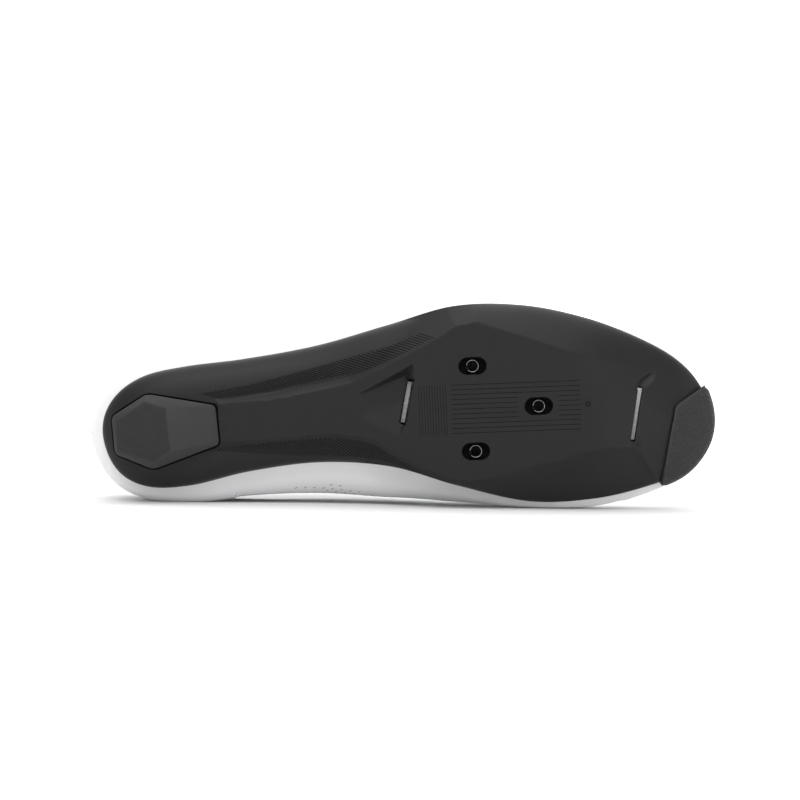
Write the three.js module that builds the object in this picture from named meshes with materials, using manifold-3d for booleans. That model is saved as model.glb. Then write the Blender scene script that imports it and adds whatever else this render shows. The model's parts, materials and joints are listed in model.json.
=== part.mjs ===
// A road cycling shoe for the right foot: a white synthetic upper on a stiff black composite sole.
// Millimetres. The forms are worked out standing, then the whole shoe is laid on its inner side.
// Standing frame: x runs from the sole's heel end to the toe, +y is the inner (medial) side, z is up,
// y = 0 is the axis of the cleat slots and z = 0 is the plane of the cleat plateau and heel pad.

import * as THREE from "three";
import { ConvexGeometry } from "three/addons/geometries/ConvexGeometry.js";
import { mergeVertices } from "three/addons/utils/BufferGeometryUtils.js";
import Module from "manifold-3d";

const wasm = await Module();
wasm.setup();

// Driving dimensions
const soleLength = 253.4;
const fit = 0.3; // gap between pieces that meet
const rimHeight = 2.4; // upright side of the sole's rim
const wall = 2.8; // thickness of the upper
const heelPadding = 2.2; // extra thickness of the padded heel and collar
const paddedShare = 0.45; // share of the length where the padding ends
const dish = 4.5; // how late the footbed rises to its rim
const liftFade = 8; // how fast a raised foot line dies out up the side
const marginThickness = 1.4; // upper turned in under the foot
const marginInner = 0.74; // share of the half width where the turned-in margin stops
const insoleThickness = 3.0;
const tongueThickness = 4.4;
const strapThickness = 2.0;
const cleatPitchAcross = 35.0; // three-bolt pattern, rear pair
const cleatPitchAlong = 26.5; // three-bolt pattern, rear pair to front hole
const cleatRearX = 154.2;
const slotLength = 11.4;
const slotWidth = 7.0;
const sleeveOuter = 5.6;
const sleeveInner = 3.9;
const below = -12; // cutters start here, under the whole sole
const above = 130; // and end here, over the whole shoe
const footInset = 0.4; // the upper's foot line lies this far inside the sole's rim
const roundSteps = 64; // sections around the shoe

// Angles that lay the shoe on its inner side, so that heel, ball and collar side touch the floor,
// and the shift that brings the bottom centre of its box to the origin
const layTurn = -90.5;
const layPitch = -3.2;
const restShift = [-124.94, -51.06, 32.58];

// A table is a list of rows with named columns
function table(names, rows) {
  const columns = {};
  names.forEach((name, index) => {
    columns[name] = rows.map((row) => row[index]);
  });
  return columns;
}

// Sole sections: outline to both sides, height of the rim's lower edge, of the footbed's middle,
// of the underside's middle, and how boxy the underside is
const sole = table(
  ["x", "lateral", "medial", "edge", "bed", "keel", "boxy"],
  [
    [0, 3.1, 3.1, 15.6, 13.6, 9.6, 2.0],
    [6, -11.3, 20.1, 15.6, 12.4, 8.4, 2.1],
    [18, -18.9, 26.8, 15.8, 11.8, 6.8, 2.2],
    [36, -22.3, 26.9, 16.4, 11.8, 7.2, 2.3],
    [60, -24.4, 22.2, 17.8, 12.9, 8.8, 2.3],
    [90, -28.7, 19.6, 18.6, 13.0, 9.0, 2.2],
    [120, -36.0, 22.7, 16.5, 9.8, 5.6, 2.1],
    [148, -42.7, 31.9, 13.0, 7.0, 1.6, 2.1],
    [176, -41.9, 39.1, 11.4, 6.4, 1.4, 2.1],
    [202, -35.7, 39.2, 12.4, 7.0, 2.6, 2.1],
    [224, -26.6, 35.4, 15.6, 10.8, 6.6, 2.2],
    [240, -17.0, 29.9, 19.6, 16.4, 12.0, 2.2],
    [250, -5.4, 20.0, 23.2, 22.0, 17.4, 2.1],
    [soleLength, 8.0, 8.0, 24.6, 24.0, 19.4, 2.0],
  ],
);

// Upper sections on the same stations: how far it stands out over the sole on each side, the height
// where it is widest, and how boxy its section is above that
const upper = table(
  ["outLateral", "outMedial", "widest", "boxy"],
  [
    [6.2, 6.2, 27, 2.3],
    [7.2, 5.6, 27, 2.4],
    [7.8, 5.8, 27, 2.5],
    [8.2, 7.8, 28, 2.7],
    [8.3, 11.1, 31, 2.8],
    [7.4, 14.1, 36, 2.6],
    [4.5, 14.0, 33, 2.2],
    [1.8, 7.6, 23, 2.0],
    [0.8, 3.4, 17.4, 2.1],
    [0.8, 3.9, 18, 2.2],
    [0.8, 3.2, 21.5, 2.2],
    [0.8, 2.0, 26, 2.2],
    [0.6, 0.9, 29, 2.2],
    [0.6, 0.6, 30, 2.2],
  ],
);

// The crest of the closed last over the foot
const crest = table(
  ["x", "y", "z"],
  [
    [26, 2.5, 112],
    [60, 0.5, 112],
    [88, 0.5, 105],
    [105, 1.0, 95],
    [125, 2.0, 82],
    [150, 4.0, 68],
    [175, 5.5, 58],
    [195, 6.5, 53],
    [214, 8.0, 48.5],
  ],
);
const spineStart = 24;
const spineEnd = 228;

// Smooth curve through points whose knots rise, held level past its ends
function curve(knots, values) {
  const last = knots.length - 1;
  const slopes = knots.map((knot, index) => {
    const before = Math.max(index - 1, 0);
    const after = Math.min(index + 1, last);
    return (values[after] - values[before]) / (knots[after] - knots[before]);
  });
  return (at) => {
    const place = Math.min(Math.max(at, knots[0]), knots[last]);
    let left = 0;
    while (left < last - 1 && place > knots[left + 1]) {
      left += 1;
    }
    const span = knots[left + 1] - knots[left];
    const t = (place - knots[left]) / span;
    const rise = t * t * (3 - 2 * t);
    return (
      values[left] * (1 - rise) +
      values[left + 1] * rise +
      slopes[left] * span * t * (1 - t) * (1 - t) -
      slopes[left + 1] * span * t * t * (1 - t)
    );
  };
}

// Angle around the shoe: 0 at the heel, half a turn at the toe, the lateral side comes first
const alongOf = (angle) => (1 - Math.cos(angle)) / 2;
const angleOf = (x) => Math.acos(1 - (2 * x) / soleLength);

// Smooth closed line around the shoe from a lateral and a medial column
function around(lateral, medial) {
  const knots = sole.x.map(angleOf);
  const values = [...lateral];
  for (let row = sole.x.length - 2; row > 0; row -= 1) {
    knots.push(2 * Math.PI - angleOf(sole.x[row]));
    values.push(medial[row]);
  }
  const count = knots.length;
  const wrapped = [-3, -2, -1].map((step) => [knots[count + step] - 2 * Math.PI, values[count + step]]);
  const onward = [0, 1, 2].map((step) => [knots[step] + 2 * Math.PI, values[step]]);
  const all = [...wrapped, ...knots.map((knot, index) => [knot, values[index]]), ...onward];
  return curve(all.map((pair) => pair[0]), all.map((pair) => pair[1]));
}

const sideLine = around(sole.lateral, sole.medial);
const edgeLine = around(sole.edge, sole.edge);
const outLine = around(upper.outLateral, upper.outMedial);
const boxLine = around(upper.boxy, upper.boxy);
const widestLine = around(upper.widest, upper.widest);
const bedHeight = curve(sole.x, sole.bed);
const keelHeight = curve(sole.x, sole.keel);
const soleBoxy = curve(sole.x, sole.boxy);
const middleY = curve(sole.x, sole.lateral.map((value, row) => (value + sole.medial[row]) / 2));
const crestY = curve(crest.x, crest.y);
const crestZ = curve(crest.x, crest.z);

// Point of the outline, moved out by some millimetres square to it
function outline(angle, out) {
  const step = 0.01;
  const along = (at) => [soleLength * alongOf(at), sideLine(at < 0 ? at + 2 * Math.PI : at)];
  const [x, y] = along(angle);
  const ahead = along(angle + step);
  const behind = along(angle - step);
  const dx = ahead[0] - behind[0];
  const dy = ahead[1] - behind[1];
  const size = Math.hypot(dx, dy);
  return [x + (dy / size) * out, y - (dx / size) * out];
}

// Place between the sole's middle line and its outline: share 0 to 1
function planPoint(angle, share, out) {
  const [x, y] = outline(angle, out);
  const spineX = THREE.MathUtils.lerp(spineStart, spineEnd, alongOf(angle));
  return [THREE.MathUtils.lerp(spineX, x, share), THREE.MathUtils.lerp(middleY(spineX), y, share)];
}

// Heights of the sole's underside and of its footbed
function underside(angle, share) {
  const [x] = planPoint(angle, share, 0);
  const rise = edgeLine(angle) - keelHeight(x);
  const boxy = soleBoxy(x);
  return edgeLine(angle) - rise * (1 - share ** boxy) ** (1 / boxy);
}

function footbed(angle, share) {
  const [x] = planPoint(angle, share, 0);
  const rim = edgeLine(angle) + rimHeight;
  return bedHeight(x) + (rim - bedHeight(x)) * share ** dish;
}

// One ring of points around the shoe
function ring(place) {
  return Array.from({ length: roundSteps }, (unused, index) => place((2 * Math.PI * index) / roundSteps));
}

// A closed body from rings, each ring outside the one before; the first and last ring are pressed flat
function ringBody(rings) {
  const points = rings.flat(2);
  const faces = [];
  for (let row = 0; row < rings.length - 1; row += 1) {
    for (let index = 0; index < roundSteps; index += 1) {
      const next = (index + 1) % roundSteps;
      const a = row * roundSteps + index;
      const b = row * roundSteps + next;
      faces.push(a, a + roundSteps, b + roundSteps, a, b + roundSteps, b);
    }
  }
  const geometry = new THREE.BufferGeometry();
  geometry.setAttribute("position", new THREE.Float32BufferAttribute(points, 3));
  geometry.setIndex(faces);
  return geometry;
}

// Solids are handed over as merged points and triangles
function solid(geometry) {
  const bare = geometry.clone();
  bare.deleteAttribute("normal");
  bare.deleteAttribute("uv");
  const merged = mergeVertices(bare, 1e-4);
  const mesh = new wasm.Mesh({
    numProp: 3,
    vertProperties: new Float32Array(merged.attributes.position.array),
    triVerts: new Uint32Array(merged.index.array),
  });
  mesh.merge();
  const made = new wasm.Manifold(mesh);
  return made.volume() < 0 ? solid(flipped(merged)) : made;
}

function flipped(geometry) {
  const turned = geometry.clone();
  const index = [...turned.index.array];
  for (let at = 0; at < index.length; at += 3) {
    [index[at], index[at + 1]] = [index[at + 1], index[at]];
  }
  turned.setIndex(index);
  return turned;
}

function geometryOf(made) {
  const mesh = made.getMesh();
  const geometry = new THREE.BufferGeometry();
  geometry.setAttribute("position", new THREE.Float32BufferAttribute(mesh.vertProperties, 3));
  geometry.setIndex([...mesh.triVerts]);
  return geometry;
}

// A prism standing on a plan outline, from one height to another
function planPrism(points, low, high) {
  const shape = new THREE.Shape(points.map((point) => new THREE.Vector2(...point)));
  const geometry = new THREE.ExtrudeGeometry(shape, {
    depth: high - low,
    bevelEnabled: false,
    curveSegments: 6,
  });
  return solid(geometry.translate(0, 0, low));
}

// A prism across the shoe on a side-view outline
function sidePrism(points, right, left) {
  const shape = new THREE.Shape(points.map((point) => new THREE.Vector2(...point)));
  const geometry = new THREE.ExtrudeGeometry(shape, { depth: left - right, bevelEnabled: false });
  geometry.rotateX(Math.PI / 2);
  return solid(geometry.translate(0, left, 0));
}

function hull(points) {
  return solid(new ConvexGeometry(points.map((point) => new THREE.Vector3(...point))));
}

// Outline of a straight slot with round ends
function slotShape(length, width) {
  const shape = new THREE.Shape();
  const straight = (length - width) / 2;
  shape.absarc(straight, 0, width / 2, -Math.PI / 2, Math.PI / 2);
  shape.absarc(-straight, 0, width / 2, Math.PI / 2, (3 * Math.PI) / 2);
  return shape;
}

function slotCut(x, y, low, high) {
  const geometry = new THREE.ExtrudeGeometry(slotShape(slotLength, slotWidth), {
    depth: high - low,
    bevelEnabled: false,
    curveSegments: 6,
  });
  return solid(geometry.translate(x, y, low));
}

const cleatHoles = [
  [cleatRearX, -cleatPitchAcross / 2],
  [cleatRearX, cleatPitchAcross / 2],
  [cleatRearX + cleatPitchAlong, 0],
];

// Sole form: underside from the middle out, then the rim, then the footbed back in
function soleForm(out, lift) {
  const underShares = [0, 0.3, 0.55, 0.75, 0.88, 0.96, 1];
  const bedShares = [1, 0.86, 0.7, 0.45, 0];
  const under = underShares.map((share) =>
    ring((angle) => [...planPoint(angle, share, out * share), underside(angle, share) - out * (1 - share)]),
  );
  const bed = bedShares.map((share) =>
    ring((angle) => [...planPoint(angle, share, out * share), footbed(angle, share) + lift]),
  );
  return solid(ringBody([...under, ...bed]));
}

// Upper form: its underside from the middle out, then the sides up to the crest
function upperPoint(angle, level, out) {
  const foot = edgeLine(angle) + rimHeight + fit;
  const top = THREE.MathUtils.lerp(crest.x[0], crest.x.at(-1), alongOf(angle));
  const height = crestZ(top) + out;
  const widest = (widestLine(angle) - foot) / (height - foot);
  if (level < widest) {
    const turn = Math.sqrt(1 - (1 - level / widest) ** 2);
    const [x, y] = outline(angle, out - footInset + outLine(angle) * turn);
    return [x, y, THREE.MathUtils.lerp(foot, height, level)];
  }
  const boxy = boxLine(angle);
  const inward = 1 - (1 - ((level - widest) / (1 - widest)) ** boxy) ** (1 / boxy);
  const [x, y] = outline(angle, out - footInset + outLine(angle));
  return [
    THREE.MathUtils.lerp(x, top, inward),
    THREE.MathUtils.lerp(y, crestY(top), inward),
    THREE.MathUtils.lerp(foot, height, level),
  ];
}

function upperForm(outAt, lift, levels) {
  const shares = [0, 0.45, 0.7, 0.9];
  const under = shares.map((share) =>
    ring((angle) => [
      ...planPoint(angle, share, (outAt(angle) - footInset) * share),
      footbed(angle, share) + fit + lift,
    ]),
  );
  const sides = levels.map((level) =>
    ring((angle) => {
      const [x, y, z] = upperPoint(angle, level, outAt(angle));
      return [x, y, z + lift * (1 - level) ** liftFade];
    }),
  );
  return solid(ringBody([...under, ...sides]));
}

const footLift = 6; // keeps the underside of a form out of the way where only its top is used
const sideLevels = [0, 0.03, 0.08, 0.14, 0.22, 0.32, 0.44, 0.56, 0.68, 0.79, 0.88, 0.95, 0.985, 1];

// Collar line seen from the side, and the throat seen from above
const collarLine = [
  [-12, 77],
  [0, 78],
  [8, 77],
  [18, 72.5],
  [30, 66.5],
  [46, 61.5],
  [62, 60],
  [78, 64],
  [92, 73],
  [101, 84],
  [107, 100],
  [107, above],
  [-12, above],
];
const throatLine = [
  [96, -15],
  [108, -14.5],
  [140, -10],
  [176, -4],
  [184, 0],
  [187, 5.5],
  [184, 11],
  [176, 14],
  [140, 17.5],
  [108, 17],
  [96, 17.5],
];
const throatFloor = 40;
const openingTop = 30;
const halfRoom = 80; // cutters across the shoe reach this far to each side

// Thickness of the upper: padded at the heel, plain from the waist on
const wallAt = (angle) => wall + heelPadding * Math.max(0, 1 - alongOf(angle) / paddedShare);

function makeUpper() {
  const outer = upperForm(() => 0, 0, sideLevels);
  const inner = upperForm((angle) => -wallAt(angle), marginThickness, sideLevels);
  const opening = ring((angle) => planPoint(angle, marginInner, 0));
  return outer
    .subtract(inner)
    .subtract(sidePrism(collarLine, -halfRoom, halfRoom))
    .subtract(planPrism(throatLine, throatFloor, above))
    .subtract(planPrism(opening, below, openingTop));
}

// Tongue: a curved pad under the throat, from the vamp up over the instep
const tongueLine = [
  [84, -8],
  [88, -13],
  [98, -18],
  [140, -15],
  [180, -9],
  [192, -2],
  [195, 6],
  [192, 13],
  [180, 19],
  [140, 22],
  [98, 21],
  [88, 15],
  [84, 10],
];

function makeTongue() {
  const under = (depth) => upperForm((angle) => -wallAt(angle) - 2 * fit - depth, footLift, sideLevels);
  const outer = under(0);
  const inner = under(tongueThickness);
  return outer.subtract(inner).intersect(planPrism(tongueLine, throatFloor, above));
}

// Insole: rests on the turned-in margin and fills the opening down to the sole
function makeInsole() {
  const inset = (angle) => -wallAt(angle) - 0.8;
  const shares = [0, 0.45, marginInner - 0.06, marginInner, 0.9, 1];
  const stepUp = [0, 0, 0, marginThickness + fit, marginThickness + fit, marginThickness + fit];
  const under = shares.map((share, row) =>
    ring((angle) => [
      ...planPoint(angle, share, inset(angle) * share),
      footbed(angle, share) + fit + stepUp[row],
    ]),
  );
  const topShares = [1, 0.9, 0.7, 0.4, 0];
  const top = topShares.map((share) =>
    ring((angle) => [
      ...planPoint(angle, share, inset(angle) * share),
      footbed(angle, share) + 2 * fit + marginThickness + insoleThickness * (share === 1 ? 0.6 : 1),
    ]),
  );
  return solid(ringBody([...under, ...top]));
}

// Heel pad: a six-sided tread block with a flat face, a ramp to the front and chamfered sides
const padOutline = [
  [5.6, -2.7],
  [20.1, -11.4],
  [47.8, -5.7],
  [48.8, 10.5],
  [21.5, 19.6],
  [6.4, 12.1],
];
const padFace = [
  [7.4, -1.2],
  [19.3, -8.6],
  [28.2, -5.5],
  [29.5, 12.6],
  [21.7, 16.9],
  [7.5, 11.7],
];
const padRampFront = [
  [46.4, -4.9],
  [47.2, 9.7],
];
const padRim = 6.4; // height where the pad's chamfers meet the sole
const padSeat = 9.2;
const padGap = 0.8; // open line round the pad

// Outline grown from its own middle
function grown(points, by) {
  const count = points.length;
  const middle = points.reduce((sum, [x, y]) => [sum[0] + x / count, sum[1] + y / count], [0, 0]);
  return points.map(([x, y]) => {
    const size = Math.hypot(x - middle[0], y - middle[1]);
    return [x + ((x - middle[0]) / size) * by, y + ((y - middle[1]) / size) * by];
  });
}

const atHeight = (points, z) => points.map(([x, y]) => [x, y, z]);

function makeHeelPad() {
  return hull([
    ...atHeight(padFace, 0),
    ...atHeight(padRampFront, padRim - 0.9),
    ...atHeight(padOutline, padRim),
    ...atHeight(padOutline, padSeat),
  ]);
}

// Tread block: the flat cleat plateau, its bevels, the ramp behind it and the rise to the toe vent
const plateauFace = [
  [141, -22],
  [154, -30],
  [174, -30],
  [190, -24],
  [205, -17],
  [205, 17],
  [190, 20.5],
  [175, 25],
  [150, 25],
  [138, 20],
  [134, 8],
  [136, -14],
];

const rampRear = [
  [107, -12.5],
  [107, 4.5],
];
const rampFront = [
  [221, -14.5],
  [218, 17.0],
];
const rampRearHeight = 7.2;
const rampFrontHeight = 5.2;
const plateauRear = 135;
const plateauBevel = 5.6;

function makePlateau() {
  return hull([
    ...atHeight(plateauFace, 0),
    ...atHeight(rampRear, rampRearHeight),
    ...atHeight(rampFront, rampFrontHeight),
    ...atHeight(grown(plateauFace, plateauBevel), plateauBevel),
  ]);
}

// Hollow behind the middle vent, and the two vent slots
const ventMid = { from: [128.2, -12.5], to: [124.4, 5.0], width: 2.2 };
const ventToe = { from: [223.0, -6.4], to: [218.8, 15.8], width: 1.8 };
const ventDepth = 0.8; // the mesh lies this deep in its slot
const ventThickness = 1.6;
const hollowApex = [108, -5];
const hollowDepth = 2.6;
const hollowRidge = [
  [130.4, -19.3],
  [123.0, 11.1],
];

function ventBlock(vent, spare, low, high) {
  const [x0, y0] = vent.from;
  const [x1, y1] = vent.to;
  const size = Math.hypot(x1 - x0, y1 - y0);
  const ux = (x1 - x0) / size;
  const uy = (y1 - y0) / size;
  const half = vent.width / 2 + spare;
  const corner = (at, along, side) => [at[0] + ux * along - uy * side, at[1] + uy * along + ux * side];
  return planPrism(
    [
      corner(vent.from, -spare, -half),
      corner(vent.to, spare, -half),
      corner(vent.to, spare, half),
      corner(vent.from, -spare, half),
    ],
    low,
    high,
  );
}

function makeHollow() {
  const slope = rampRearHeight / (plateauRear - rampRear[0][0]);
  const surface = (x) => slope * (plateauRear - x);
  const rim = [
    [...hollowApex, surface(hollowApex[0])],
    [...hollowRidge[0], surface(hollowRidge[0][0])],
    [...hollowRidge[1], surface(hollowRidge[1][0])],
  ];
  const floor = [
    [...ventMid.from, surface(ventMid.from[0]) + hollowDepth],
    [...ventMid.to, surface(ventMid.to[0]) + hollowDepth],
  ];
  return hull([...rim, ...floor, ...rim.map(([x, y]) => [x, y, below])]);
}

// Toe bumper: a rubber cap over the front of the sole
const bumperBack = [
  [255, -7.7],
  [239.4, 2.0],
  [231.6, 35.2],
];
const bumperRegion = [...bumperBack, [231.6, 60], [275, 60], [275, -30], [255, -30]];
const bumperProud = 2.0;
const bumperLap = 1.6; // how far it laps up over the sole's rim

function makeBumper() {
  const outer = soleForm(bumperProud, bumperLap);
  return outer
    .subtract(soleForm(fit, fit))
    .subtract(upperForm(() => fit, -bumperLap, sideLevels))
    .intersect(planPrism(bumperRegion, below, above));
}

// Nut plate: a steel plate with three threaded sleeves under the cleat slots
const plateLow = 3.8;
const plateThickness = 1.6;
const sleeveLow = 1.4;
const plateOutline = [
  [cleatRearX - 7, -24],
  [cleatRearX + 8, -24],
  [cleatRearX + 33, -6],
  [cleatRearX + 35, 0],
  [cleatRearX + 33, 6],
  [cleatRearX + 8, 24],
  [cleatRearX - 7, 24],
];

function disc(x, y, radius, low, high) {
  const geometry = new THREE.CylinderGeometry(radius, radius, high - low, 20);
  geometry.rotateX(Math.PI / 2);
  return solid(geometry.translate(x, y, (low + high) / 2));
}

function makeNutPlate() {
  let made = planPrism(plateOutline, plateLow, plateLow + plateThickness);
  for (const [x, y] of cleatHoles) {
    made = made.add(disc(x, y, sleeveOuter / 2, sleeveLow, plateLow + plateThickness));
  }
  for (const [x, y] of cleatHoles) {
    made = made.subtract(disc(x, y, sleeveInner / 2, below, above));
  }
  return made;
}

function makeOutsole() {
  let made = soleForm(0, 0).add(makePlateau());
  made = made.subtract(makeHollow());
  made = made.subtract(planPrism(grown(padOutline, padGap), below, padSeat + fit));
  made = made.subtract(planPrism(grown(plateOutline, padGap), plateLow - fit, above));
  for (const [x, y] of cleatHoles) {
    made = made.subtract(slotCut(x, y, below, plateLow));
  }
  made = made.subtract(ventBlock(ventMid, fit, below, above));
  made = made.subtract(ventBlock(ventToe, fit, below, above));
  return made;
}

function makeVentMesh(vent) {
  const x = (vent.from[0] + vent.to[0]) / 2;
  const low = keelHeight(x) + ventDepth;
  return ventBlock(vent, 0, low, low + ventThickness);
}

// Straps: flat bands over the throat, on the upper's own form
const strapLow = 36;

function makeStrap(rear, front, lowLateral, lowMedial) {
  const outer = upperForm(() => fit + strapThickness, footLift, sideLevels);
  const inner = upperForm(() => fit, footLift, sideLevels);
  const band = [
    [rear, lowLateral],
    [front, lowLateral],
    [front + 4, 0],
    [front - 2, lowMedial],
    [rear - 2, lowMedial],
    [rear + 4, 0],
  ];
  return outer.subtract(inner).intersect(planPrism(band, strapLow, above));
}

const colours = {
  synthetic: { color: 0xe9e9ea, roughness: 0.5, metalness: 0 },
  composite: { color: 0x2b2b2c, roughness: 0.55, metalness: 0 },
  rubber: { color: 0x3a3b3d, roughness: 0.8, metalness: 0 },
  mesh: { color: 0x9a9b9c, roughness: 0.8, metalness: 0 },
  lining: { color: 0x1f2022, roughness: 0.95, metalness: 0 },
  strap: { color: 0xe2e2e4, roughness: 0.7, metalness: 0 },
  steel: { color: 0xb5b8bb, roughness: 0.3, metalness: 1 },
};

const standing = new THREE.Group();

function place(name, made, finish) {
  const mesh = new THREE.Mesh(geometryOf(made), new THREE.MeshStandardMaterial(colours[finish]));
  mesh.name = name;
  standing.add(mesh);
}

place("outsole", makeOutsole(), "composite");
place("heel_pad", makeHeelPad(), "rubber");
place("toe_bumper", makeBumper(), "rubber");
place("cleat_nut_plate", makeNutPlate(), "steel");
place("vent_mesh_mid", makeVentMesh(ventMid), "mesh");
place("vent_mesh_toe", makeVentMesh(ventToe), "mesh");
place("insole", makeInsole(), "lining");
place("upper", makeUpper(), "synthetic");
place("tongue", makeTongue(), "lining");
place("strap_front", makeStrap(150, 168, -33, 36), "strap");
place("strap_instep", makeStrap(116, 140, -34, 30), "strap");

const shoe = new THREE.Group();
standing.rotation.x = THREE.MathUtils.degToRad(layTurn);
shoe.rotation.y = THREE.MathUtils.degToRad(layPitch);
shoe.add(standing);
shoe.position.set(...restShift);

export default shoe;
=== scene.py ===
"""Looks of a white road cycling shoe with a black composite sole, lying on its inner side."""
import json
import math

import bmesh
import bpy
import numpy as np
from mathutils import Matrix, Vector
from mathutils.bvhtree import BVHTree
from mathutils.geometry import delaunay_2d_cdt


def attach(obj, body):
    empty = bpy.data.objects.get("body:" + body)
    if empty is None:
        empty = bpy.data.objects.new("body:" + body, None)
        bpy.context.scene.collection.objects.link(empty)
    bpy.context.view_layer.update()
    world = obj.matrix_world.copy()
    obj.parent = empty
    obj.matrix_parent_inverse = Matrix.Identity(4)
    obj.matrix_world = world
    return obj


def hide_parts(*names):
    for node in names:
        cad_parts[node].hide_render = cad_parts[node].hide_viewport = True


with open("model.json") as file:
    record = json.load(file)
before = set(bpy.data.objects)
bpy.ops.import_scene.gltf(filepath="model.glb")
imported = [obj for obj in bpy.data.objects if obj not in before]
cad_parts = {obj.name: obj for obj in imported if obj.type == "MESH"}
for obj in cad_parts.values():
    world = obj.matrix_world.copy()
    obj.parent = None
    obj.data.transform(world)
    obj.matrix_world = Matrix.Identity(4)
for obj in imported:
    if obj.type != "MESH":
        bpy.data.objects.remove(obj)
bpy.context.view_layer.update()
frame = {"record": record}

# Shoe frame in millimetres: x from the sole's heel end to the toe, y to the inner side, z up from the
# cleat plane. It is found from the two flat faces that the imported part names.
MILLIMETRE = 0.001
CLEAT_X = 154.2
mounts = {mount["name"]: mount for mount in frame["record"]["mounts"]}
cleat_point = Vector(mounts["cleat_face"]["pos_m"])
forward = (cleat_point - Vector(mounts["heel_face"]["pos_m"])).normalized()
upward = -Vector(mounts["cleat_face"]["axis"]).normalized()
medial = upward.cross(forward).normalized()
upward = forward.cross(medial).normalized()
shoe_origin = cleat_point - forward * CLEAT_X * MILLIMETRE
shoe_axes = np.array([forward, medial, upward])


def laid(points):
    """Shoe millimetres to metres in the frame."""
    return np.array(shoe_origin) + np.asarray(points, float) @ shoe_axes * MILLIMETRE


# Sizes of the shoe, in millimetres
SOLE_LENGTH = 253.4
FIT = 0.3
RIM_HEIGHT = 2.4
WALL = 2.8
HEEL_PADDING = 2.2
PADDED_SHARE = 0.45
DISH = 4.5
MARGIN = 1.4
MARGIN_INNER = 0.74
INSOLE = 3.0
TONGUE = 4.4
STRAP = 2.0
FOOT_INSET = 0.4
SPINE = (24, 228)


def table(names, rows):
    """Named columns from a list of rows."""
    return dict(zip(names, np.array(rows, float).T))


sole = table(("x", "lateral", "medial", "edge", "bed", "keel", "boxy"), [
    (0, 3.1, 3.1, 15.6, 13.6, 9.6, 2.0),
    (6, -11.3, 20.1, 15.6, 12.4, 8.4, 2.1),
    (18, -18.9, 26.8, 15.8, 11.8, 6.8, 2.2),
    (36, -22.3, 26.9, 16.4, 11.8, 7.2, 2.3),
    (60, -24.4, 22.2, 17.8, 12.9, 8.8, 2.3),
    (90, -28.7, 19.6, 18.6, 13.0, 9.0, 2.2),
    (120, -36.0, 22.7, 16.5, 9.8, 5.6, 2.1),
    (148, -42.7, 31.9, 13.0, 7.0, 1.6, 2.1),
    (176, -41.9, 39.1, 11.4, 6.4, 1.4, 2.1),
    (202, -35.7, 39.2, 12.4, 7.0, 2.6, 2.1),
    (224, -26.6, 35.4, 15.6, 10.8, 6.6, 2.2),
    (240, -17.0, 29.9, 19.6, 16.4, 12.0, 2.2),
    (250, -5.4, 20.0, 23.2, 22.0, 17.4, 2.1),
    (SOLE_LENGTH, 8.0, 8.0, 24.6, 24.0, 19.4, 2.0),
])
upper = table(("out_lateral", "out_medial", "widest", "boxy"), [
    (6.2, 6.2, 27, 2.3),
    (7.2, 5.6, 27, 2.4),
    (7.8, 5.8, 27, 2.5),
    (8.2, 7.8, 28, 2.7),
    (8.3, 11.1, 31, 2.8),
    (7.4, 14.1, 36, 2.6),
    (4.5, 14.0, 33, 2.2),
    (1.8, 7.6, 23, 2.0),
    (0.8, 3.4, 17.4, 2.1),
    (0.8, 3.9, 18, 2.2),
    (0.8, 3.2, 21.5, 2.2),
    (0.8, 2.0, 26, 2.2),
    (0.6, 0.9, 29, 2.2),
    (0.6, 0.6, 30, 2.2),
])
crest = table(("x", "y", "z"), [
    (26, 2.5, 112), (60, 0.5, 112), (88, 0.5, 105), (105, 1, 95), (125, 2, 82),
    (150, 4, 68), (175, 5.5, 58), (195, 6.5, 53), (214, 8, 48.5),
])


def curve(knots, values):
    """Smooth curve through points whose knots rise, held level past its ends."""
    knots = np.array(knots, float)
    values = np.array(values, float)
    rows = np.arange(len(knots))
    before = np.maximum(rows - 1, 0)
    after = np.minimum(rows + 1, len(knots) - 1)
    slopes = (values[after] - values[before]) / (knots[after] - knots[before])

    def at(place):
        place = np.clip(place, knots[0], knots[-1])
        left = np.clip(np.searchsorted(knots, place, side="right") - 1, 0, len(knots) - 2)
        span = knots[left + 1] - knots[left]
        t = (place - knots[left]) / span
        rise = t * t * (3 - 2 * t)
        bend = slopes[left] * span * t * (1 - t) ** 2 - slopes[left + 1] * span * t * t * (1 - t)
        return values[left] * (1 - rise) + values[left + 1] * rise + bend

    return at


def lerp(low, high, share):
    return low + (high - low) * share


def smooth_step(low, high, value):
    share = np.clip((value - low) / (high - low), 0, 1)
    return share * share * (3 - 2 * share)


def soft_min(a, b, soft):
    """The lower of two heights, with a rounded corner where they cross."""
    near = np.maximum(soft - np.abs(a - b), 0) / soft
    return np.minimum(a, b) - near * near * soft / 4


# Angle around the shoe: 0 at the heel, half a turn at the toe, the lateral side comes first
def along_of(angle):
    return (1 - np.cos(angle)) / 2


def around(lateral, inner):
    """Smooth closed line around the shoe from a lateral and a medial column."""
    knots = np.arccos(1 - 2 * sole["x"] / SOLE_LENGTH)
    turn = 2 * np.pi
    knots = np.concatenate([knots, turn - knots[-2:0:-1]])
    values = np.concatenate([lateral, inner[-2:0:-1]])
    knots = np.concatenate([knots[-3:] - turn, knots, knots[:3] + turn])
    values = np.concatenate([values[-3:], values, values[:3]])
    line = curve(knots, values)
    return lambda angle: line(np.mod(angle, turn))


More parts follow.
